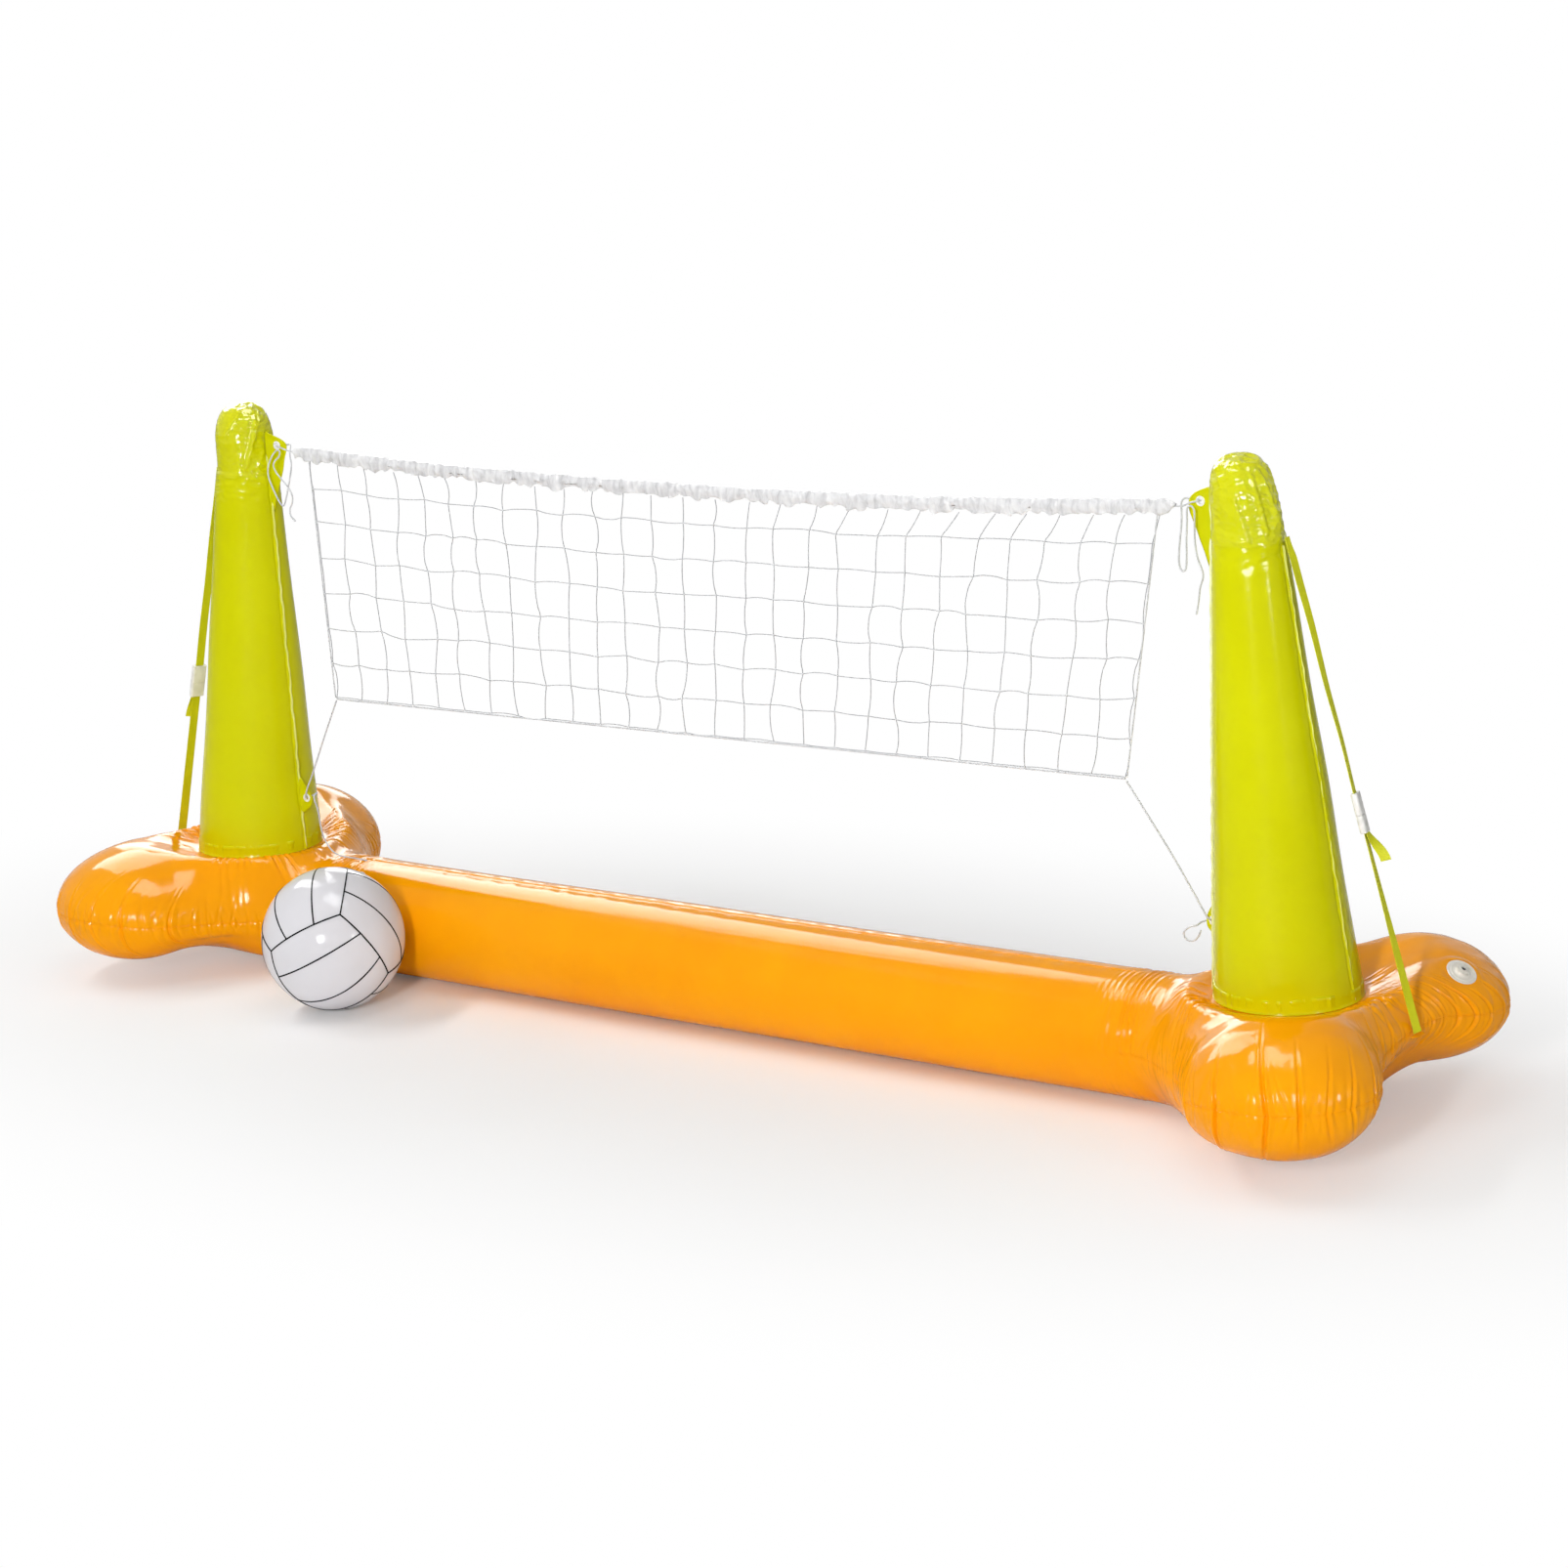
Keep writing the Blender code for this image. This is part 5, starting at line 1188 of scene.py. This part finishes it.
# Routes of the ties in millimetres from the middle of their eyelet. Each tie leaves the end of its cord, goes
# through the eyelet and round the ear's edge, and then hangs in a loop or a tail. Both top ties start alike.
TOP_START = [
    (21.5, -3, -6), (14.5, -6.2, -2.5), (8, -6.8, -0.5), (2.9, -4.8, 0), (0.8, 0, 0), (2.9, 4.8, 0),
    (8, 6.8, 0), (15.5, 6.8, 0.8),
]
TIE_ROUTES = {
    "top_left": [
        (23.5, 5.2, 1.5), (29, 0.5, -0.5), (32.5, -5, -6), (35, -8.5, -14), (37, -9.5, -28),
        (33, -10, -46), (27, -10.5, -64), (20.5, -10.8, -82), (14, -11.2, -94.5), (8, -11.5, -92),
        (1, -12, -81), (-8, -12.5, -62), (-12.5, -13, -48), (-11, -13.2, -34), (-3, -13.2, -19),
        (7, -13, -8), (14.5, -12.8, -5), (19.5, -15, -8.5), (19, -18, -15), (12, -19.5, -21),
        (7, -19, -29), (10, -17.5, -40), (19, -16, -51), (30, -15, -63), (37, -14, -76), (36, -14, -88),
        (30, -14, -98), (30, -14, -109), (39, -14, -118),
    ],
    "top_right": [
        (-22.5, 4.8, 1.8), (-26.5, 0, 1), (-26.5, -5.5, -4), (-25, -8, -12), (-25.5, -8.5, -30),
        (-29, -8.5, -55), (-31.5, -8.5, -78), (-30, -8.5, -90), (-25.2, -8.8, -95), (-20.5, -9, -90),
        (-19, -9.2, -75), (-18, -9.5, -50), (-16, -10, -25), (-15, -11.2, -12), (-12.5, -12, -6.5),
        (-8, -12.2, -5), (-4.2, -12.2, -8.5), (-3, -12, -16), (-4, -11.5, -35), (-4, -11.2, -55),
        (-1, -11, -75), (5, -11, -90), (6.5, -11, -100), (1.5, -11, -115), (-1.5, -11, -132),
        (-5.5, -11, -152),
    ],
    "bottom_left": [
        (50, -2, 100), (23, -5, 44), (11, -7.5, 20), (5, -7, 7), (2.2, -4.5, 2), (1.2, 0, 0.4),
        (2.2, 4.5, 1), (6.5, 7, 3), (13.5, 6.8, 6), (20, 4, 9), (23.5, -2, 10), (24.5, -8, 7),
        (27.5, -11, 0.5), (31.5, -11, -10), (34.5, -11, -25), (36, -11, -42), (41, -11, -60),
        (50, -11, -74), (62, -11.5, -83.2), (76, -11.8, -86.6), (90, -12, -87.2), (104, -12, -87.4),
        (118, -11.5, -87.8), (132, -11, -88.4),
    ],
    "bottom_right": [
        (-65, -2, 93), (-29, -5, 41), (-13, -7.5, 18), (-5.5, -7, 6.5), (-2.4, -4.5, 1.8), (-1.2, 0, 0.4),
        (-2.4, 4.5, -0.5), (-7, 7, -1.5), (-13.5, 6.6, -3), (-19, 3, -4.5), (-20.8, -3, -6),
        (-22.5, -8, -7.5), (-28, -10.5, -8.8), (-34.5, -11, -11.8), (-40, -11, -16.8),
        (-41.2, -11, -22.8), (-37.5, -11, -28), (-30.5, -11, -30), (-23.5, -11.5, -27.5),
        (-17, -12, -20.5), (-13, -13, -12),
    ],
}


def tie_piece(name, start, eyelet, route):
    """One of the four ties, a limp cord that hangs from its eyelet."""
    path = smooth_route([start] + [eyelet + Vector(p) / 1000 for p in route], 0.0018)
    points, faces = tube(path, CORD_RADIUS, 10, ROPE_TWIST, 0.22)
    piece = mesh_piece(f"{name}_cord", points, faces, "cord", "net_cord", (name,), weld=None)


def build_ties():
    for name, side in SIDES.items():
        cord_end = top_cord_end(side)
        start = Vector((side * (cord_end + 4 * GAP), 0.0, band_z(cord_end)))
        eyelet = Vector((side * top_eyelet_x(side), 0, EYELET_Z))
        route = [(-side * x, y, z) for x, y, z in TOP_START] + TIE_ROUTES[f"top_{name}"]
        tie_piece(f"top_{name}_tie", start, eyelet, route)
        x, z = net_point(0 if side < 0 else COLUMNS, ROWS)
        below = STRAND / 2 + 3 * CORD_RADIUS + GAP
        corner = Vector((x + side * (CORD_RADIUS + GAP), 0.0, z - below))
        eyelet = Vector((side * low_eyelet_x(side), 0, LOW_EYELET_Z))
        tie_piece(f"bottom_{name}_tie", corner, eyelet, TIE_ROUTES[f"bottom_{name}"])


# Straps and buckles

# Turn of each strap's webbing about its length in degrees, at its top, at the buckle and at its foot
STRAP_TURNS = {-1: (100, 109, 122), 1: (80, 105, 74)}
BUCKLE_TURN = radians(107)
SHOWN_WIDTH = 0.014
WEB_HALF_SECTION = [(-1.0, 0.45), (-0.94, 0.62), (-0.8, 0.5), (-0.4, 0.46), (0.0, 0.5)]

# Turn of each strap's loose tail in degrees, at its root and at its end, and how far its end hangs off
TAIL_TURNS = {-1: (107, 132, 0.007), 1: (107, 24, 0.017)}


def strap_ends(side):
    """The strap's ends: beside the crown's foot, and over the tab at the notch, as seen from the right."""
    beside = post_axis(side, CROWN_Z) + post_radius(CROWN_Z) + STRAP_TOP_OFFSET
    notch = POST_X + float(reaches(np.array([0.0]))[0][0])
    top = Vector((beside, 0, CROWN_Z + STRAP_TOP_RISE))
    return top, Vector((notch + TAB_REACH / 2, 0, float(plain_seam(notch, 0.0)) + TAB_THICKNESS))


def strap_frame(side, distance, twist=0.0):
    """Placement at a distance down the strap: X across the webbing, Y out of its face, Z up the strap."""
    top, foot = strap_ends(side)
    down = (foot - top).normalized()
    axes = Matrix(((-down.z, 0, down.x), (0, 1, 0), -down)).transposed().to_4x4()
    place = Matrix.Diagonal((side, 1, 1, 1)) @ Matrix.Translation(top + down * distance)
    return place @ axes @ Matrix.Rotation(twist, 4, "Z")


def web_piece(name, side, start, end, stations, placed, body, replaced):
    """Webbing with thicker rounded edges down the strap. placed gives its placement at a distance."""
    half = WEB_HALF_SECTION + [(-x, y) for x, y in WEB_HALF_SECTION[-2::-1]]
    section = [(x * SHOWN_WIDTH / 2, y * WEBBING_THICKNESS) for x, y in half]
    section += [(x, -y) for x, y in reversed(section)]
    points = []
    for i in range(stations):
        distance = start + (end - start) * i / (stations - 1)
        place = strap_frame(side, distance) @ placed(distance)
        points += [place @ Vector((x, y, 0)) for x, y in section]
    faces = capped_faces(stations, len(section))
    mesh_piece(name, points, faces, "webbing", "webbing", replaced, body, sharp=60)


def strap_turn(start, end, share):
    """A turn about the strap that eases from one angle in degrees to another."""
    return Matrix.Rotation(radians(start + (end - start) * float(ease(share))), 4, "Z")


def build_strap(name, side):
    """The webbing above and below the buckle, with the turns of this side's strap."""
    length = (strap_ends(side)[1] - strap_ends(side)[0]).length
    at_top, at_buckle, at_foot = STRAP_TURNS[side]
    lower_start = BUCKLE_START + SOCKET_LENGTH + PRONG_BASE_LENGTH / 3
    past_buckle = lower_start + PRONG_BASE_LENGTH

    def upper(distance):
        near_top = 1 - float(ease(distance / 0.03))
        wave = Matrix.Translation((-0.0025 * near_top, 0.0006 * sin(distance * 40), 0))
        narrow = Matrix.Diagonal((1 - 0.35 * near_top, 1, 1, 1))
        return strap_turn(at_top, at_buckle, distance / BUCKLE_START) @ wave @ narrow

    def lower(distance):
        return strap_turn(at_buckle, at_foot, (distance - past_buckle) / (length - past_buckle))

    replaced = (f"{name}_strap_upper", f"{name}_strap_anchor")
    web_piece(f"{name}_strap_upper_web", side, -0.004, BUCKLE_START + 0.004, 60, upper, ROOT, replaced)
    replaced = (f"{name}_strap_lower",)
    web_piece(f"{name}_strap_lower_web", side, lower_start, length - 0.0025, 60, lower, ROOT, replaced)


def build_buckle(name, side):
    """Both halves of a buckle, and the strap's loose tail that hangs from its prong half."""
    plain = strap_frame(side, BUCKLE_START, BUCKLE_TWIST)
    turn = strap_frame(side, BUCKLE_START, BUCKLE_TURN) @ plain.inverted()
    half = f"{name}_buckle_half"
    polished_copy(f"{name}_buckle_socket", f"{name}_socket_moulding", ROOT, 0.0006, turn)
    polished_copy(f"{name}_buckle_prongs", f"{name}_prongs_moulding", half, 0.0004, turn)
    root = BUCKLE_START + SOCKET_LENGTH + PRONG_BASE_LENGTH * 0.75
    at_root, at_end, swing = TAIL_TURNS[side]

    def tail(distance):
        share = (distance - root) / TAIL_LENGTH
        off = Matrix.Translation((0.0026 + swing * float(ease(share)), 0.0, 0.0))
        return off @ strap_turn(at_root, at_end, share)

    web_piece(f"{name}_tail_web", side, root, root + TAIL_LENGTH, 30, tail, half, (f"{name}_strap_tail",))


def polished_copy(node, name, body, width, turn):
    """A finer stand-in for a buckle's half, turned with the webbing and with its edges rounded."""
    mesh = frame["nodes"][node].data.copy()
    obj = new_object(name, mesh)
    shape = bmesh.new()
    shape.from_mesh(mesh)
    bmesh.ops.remove_doubles(shape, verts=shape.verts, dist=1e-5)
    bmesh.ops.dissolve_limit(shape, angle_limit=radians(2), verts=shape.verts, edges=shape.edges)
    shape.to_mesh(mesh)
    shape.free()
    mesh.transform(turn)
    bevel = obj.modifiers.new("rounded", "BEVEL")
    bevel.width = width
    bevel.segments = 3
    bevel.limit_method = "ANGLE"
    bevel.angle_limit = radians(30)
    mesh.shade_smooth()
    mesh.set_sharp_from_angle(angle=radians(50))
    finish_piece(obj, "clear", body, (node,))


# Ball

# Two directions of the ball's panel grid as the camera sees them: (right, up, towards the camera)
PANEL_A = Vector((0.813, 0.436, 0.386))
PANEL_B = Vector((-0.591, 0.69, 0.419))
INK_WIDTH = 0.0023


def box_centre(node):
    low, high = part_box(node)
    return (low + high) / 2


def panel_axes():
    """Matrix with the three panel directions in its columns."""
    towards = (CAMERA_PLACE - box_centre("ball_skin")).normalized()
    right = CAMERA_TURN.col[0]
    right = (right - towards * right.dot(towards)).normalized()
    seen = Matrix((right, towards.cross(right), towards)).transposed()
    a = (seen @ PANEL_A).normalized()
    b = seen @ PANEL_B
    b = (b - a * b.dot(a)).normalized()
    return np.array(Matrix((a, b, a.cross(b))).transposed())


def build_ball():
    """The ball's skin, faintly creased along its panels, and the printed lines between them."""
    centre = box_centre("ball_skin")
    axes = panel_axes()
    pp, aa = np.meshgrid(np.linspace(0, pi, 97), even_turns(160), indexing="ij")
    direction = stacked(np.sin(pp) * np.cos(aa), np.sin(pp) * np.sin(aa), np.cos(pp))
    # The sphere's poles lie at the valve
    to_valve = box_centre("ball_valve_flange") - centre
    direction = direction @ np.array(to_valve.to_track_quat("Z", "Y").to_matrix()).T
    girth = np.sort(np.abs(direction @ axes), axis=2)
    radius = BALL_RADIUS - 0.0002 + 0.0002 * ripple(direction, 1.4, 111)
    radius -= 0.0004 * bell((girth[:, :, 2] - girth[:, :, 1]) / np.maximum(girth[:, :, 2], 1e-6), 0.03)
    grid = np.array(centre) + direction * radius[:, :, None]
    grid_piece("ball_film_skin", grid, "ball", "ball_film", ("ball_skin",), "ball", weld=1e-5)
    # The lines run over the cube that the panels wrap, on the face across each axis along the next one
    arcs = []
    for sign in (-1, 1):
        for offset in (-1, -1 / 3, 1 / 3, 1):
            arcs += [[np.roll((end, offset, sign), -k) for end in (-1, 1)] for k in range(3)]
    parts = []
    for start, end in arcs:
        ribs = unit(np.linspace(start, end, 41) @ axes.T)
        ends = np.concatenate([ribs[:1], ribs, ribs[-1:]])
        across = unit(np.cross(ribs, ends[2:] - ends[:-2]))
        strip = []
        for w, lift in ((-0.5, -0.001), (-0.5, 0.0004), (0.5, 0.0004), (0.5, -0.001)):
            strip.append(np.array(centre) + ribs * (BALL_RADIUS + lift) + across * (w * INK_WIDTH))
        parts.append((np.stack(strip, axis=1).reshape(-1, 3), capped_faces(41, 4)))
    mesh_piece("ball_panel_lines", *joined(parts), "ink", "ball_film", body="ball", smooth=False, weld=None)


# Valves

# Outlines of a valve's moulded parts in millimetres, as (radius, height) points. The plug's heights are over
# its own underside.
RIM_OUTLINE = [
    (4, 0), (21.5, 0), (21.8, 0.4), (21.2, 1), (20, 1.2), (19, 0.8), (16.5, 0.9), (15.5, 1.5), (14.2, 1),
    (11, 1.2), (9.2, 2.2), (8.2, 4), (7.8, 4.6), (6.2, 4.6), (5.8, 4.2), (4, 4),
]
PLUG_OUTLINE = [
    (0, -1.8), (4, -1.8), (4.1, 0), (8.2, 0), (8.7, 0.5), (8.5, 1.4), (7.4, 1.8), (5.8, 1.8), (5.4, 2.4),
    (5.2, 3.4), (4.4, 3.6), (3.6, 3.4), (3.4, 1), (0, 1),
]
# A near-black disc in the plug's opening, painted shade in the recess
PAINTED_SHADE_DISC_OUTLINE = [(0, 1.1), (3.3, 1.1), (3.3, 1.4), (0, 1.4)]


def valve_frame(prefix):
    """Placement of a valve from its flange's and plug's solids: Z out of the skin, X away from the hinge."""
    solids = (frame["nodes"][f"{prefix}_{part}"].data for part in ("flange", "plug"))
    flange, plug = (np.array([v.co for v in solid.vertices]) for solid in solids)
    plug = plug.mean(axis=0)
    out = Vector(plug - flange.mean(axis=0)).normalized()
    hinge = next(Vector(j["pos_m"]) for j in frame["joints"] if j["name"] == f"{prefix}_hinge")
    away = Vector(plug) - hinge
    away = (away - out * away.dot(out)).normalized()
    base = Vector(plug) + out * float(((flange - plug) @ np.array(out)).min())
    return Matrix.Translation(base) @ Matrix((away, out.cross(away), out)).transposed().to_4x4()


def build_valve(prefix, body=ROOT, size=1.0):
    """A moulded valve: a thin welded rim with two ridges, a stem, a plug with a grip and its tether, and a
    painted shade disc.
    """
    place = valve_frame(prefix)
    low = 0.0035 + 0.0015 / size

    def moulding(outline, segments, lift=0.0):
        return turned([(r / 1000 * size, (z / 1000 + lift) * size) for r, z in outline], segments, place)

    node = f"{prefix}_flange"
    rim = moulding(RIM_OUTLINE, 56)
    mesh_piece(f"{prefix}_rim", *rim, "valve", "clear_plastic", (node,), body, sharp=50)
    tether = []
    for t in np.linspace(0, 1, 9):
        x = -0.0078 - 0.0032 * t
        z = low + 0.001 - 0.0012 * t
        wide = 0.0022 * (1 - 0.35 * sin(pi * t))
        for y, h in ((-1, -1), (1, -1), (1, 1), (-1, 1)):
            tether.append(place @ (size * Vector((x, y * wide, z + h * 0.0004))))
    points, faces = joined([moulding(PLUG_OUTLINE, 40, low), (tether, capped_faces(9, 4))])
    cap = f"{prefix}_cap"
    mesh_piece(cap, points, faces, "grip", "clear_plastic", (f"{prefix}_plug",), cap, sharp=50)
    # A near-black disc in the plug's opening: painted shade in the recess
    mesh_piece(f"{prefix}_painted_shade_disc", *moulding(PAINTED_SHADE_DISC_OUTLINE, 24, low), "dark", "clear_plastic", body=cap)


def dress_solids():
    """Materials for the solids that show as they are."""
    for name in SIDES:
        for node, material in (("strap_tab", "orange"), ("post_base_disc", "lime")):
            obj = frame["nodes"][f"{name}_{node}"]
            obj.data.materials.clear()
            obj.data.materials.append(MATERIALS[material])


# Lamps as name, place, target, width, height, power, and softboxes that only show as highlights
LAMPS = [
    ("key", (2.3, -5.7, 2.3), (0, 0, 0.3), 0.5, 1.3, 204),
    ("right_strip", (5.5, -1.7, 2.0), (0.5, 0, 0.4), 0.25, 1.0, 25),
    ("over_beam", (-4.0, -1.2, 5.5), (0, 0, 0.1), 4.6, 0.6, 150),
    ("overhead", (0.6, -0.2, 4.0), (0.3, 0, 0.2), 3.2, 2.0, 30),
]
SOFTBOXES = [
    ("front_box", (3.6, -9.5, 3.0), (0, 0, 0.2), 1.7, 2.2, 1300),
    ("side_box", (6.5, -1.7, 1.75), (1, 0, 0.3), 0.5, 1.0, 150),
    ("ceiling_box", (0.4, -0.5, 4.5), (0.4, 0, 0), 2.4, 1.6, 300),
    ("back_box", (-3.6, 1.6, 4.0), (0, 0, 0.1), 2.6, 3.5, 420),
    ("rear_box", (-4.6, 4.6, 2.2), (0.8, 0, 0.1), 3.4, 2.0, 130),
]


def add_lamp(name, place, target, width, height, power, gloss):
    data = bpy.data.lights.new(name, "AREA")
    data.energy = power
    data.shape = "RECTANGLE"
    data.size = width
    data.size_y = height
    lamp = new_object(name, data)
    lamp.location = place
    lamp.rotation_euler = (Vector(target) - Vector(place)).to_track_quat("-Z", "Y").to_euler()
    lamp.visible_camera = False
    lamp.visible_glossy = gloss
    lamp.visible_diffuse = not gloss


def build_studio():
    mesh = bpy.data.meshes.new("floor")
    corners = ((-1, -1), (1, -1), (1, 1), (-1, 1))
    mesh.from_pydata([(FLOOR_HALF * x, FLOOR_HALF * y, 0) for x, y in corners], [], [range(4)])
    mesh.materials.append(floor_material())
    floor = new_object("floor", mesh)
    floor.location.z = FLOOR_Z
    world = bpy.data.worlds.new("studio")
    bpy.context.scene.world = world
    n = Nodes(world, "Background")
    rays = n.add("LightPath").node.outputs
    direct = n.maths("MAXIMUM", rays["Is Camera Ray"], rays["Is Glossy Ray"])
    seen = n.maths("MAXIMUM", direct, rays["Is Transmission Ray"])
    n.finish(Strength=n.add("MapRange", seen, To_Min=WORLD_LIGHT, To_Max=1.0), Color=(1, 1, 1, 1))
    for lamps, gloss in ((LAMPS, False), (SOFTBOXES, True)):
        for lamp in lamps:
            add_lamp(*lamp, gloss)
    bpy.context.scene.view_settings.view_transform = "Standard"


build_camera()
build_ties()
build_studio()
dress_solids()
build_beam()
for side_name, side_sign in SIDES.items():
    for build in (
        build_end,
        build_post,
        build_crown,
        build_post_seams,
        build_foot_band,
        build_ears,
        build_strap,
    ):
        build(side_name, side_sign)
    build_valve(f"{side_name}_post_valve")
for side_name, side_sign in SIDES.items():
    build_buckle(side_name, side_sign)
build_net()
build_headband()
build_border_cords()
build_valve("base_valve")
build_valve("ball_valve", "ball", 0.55)
build_ball()
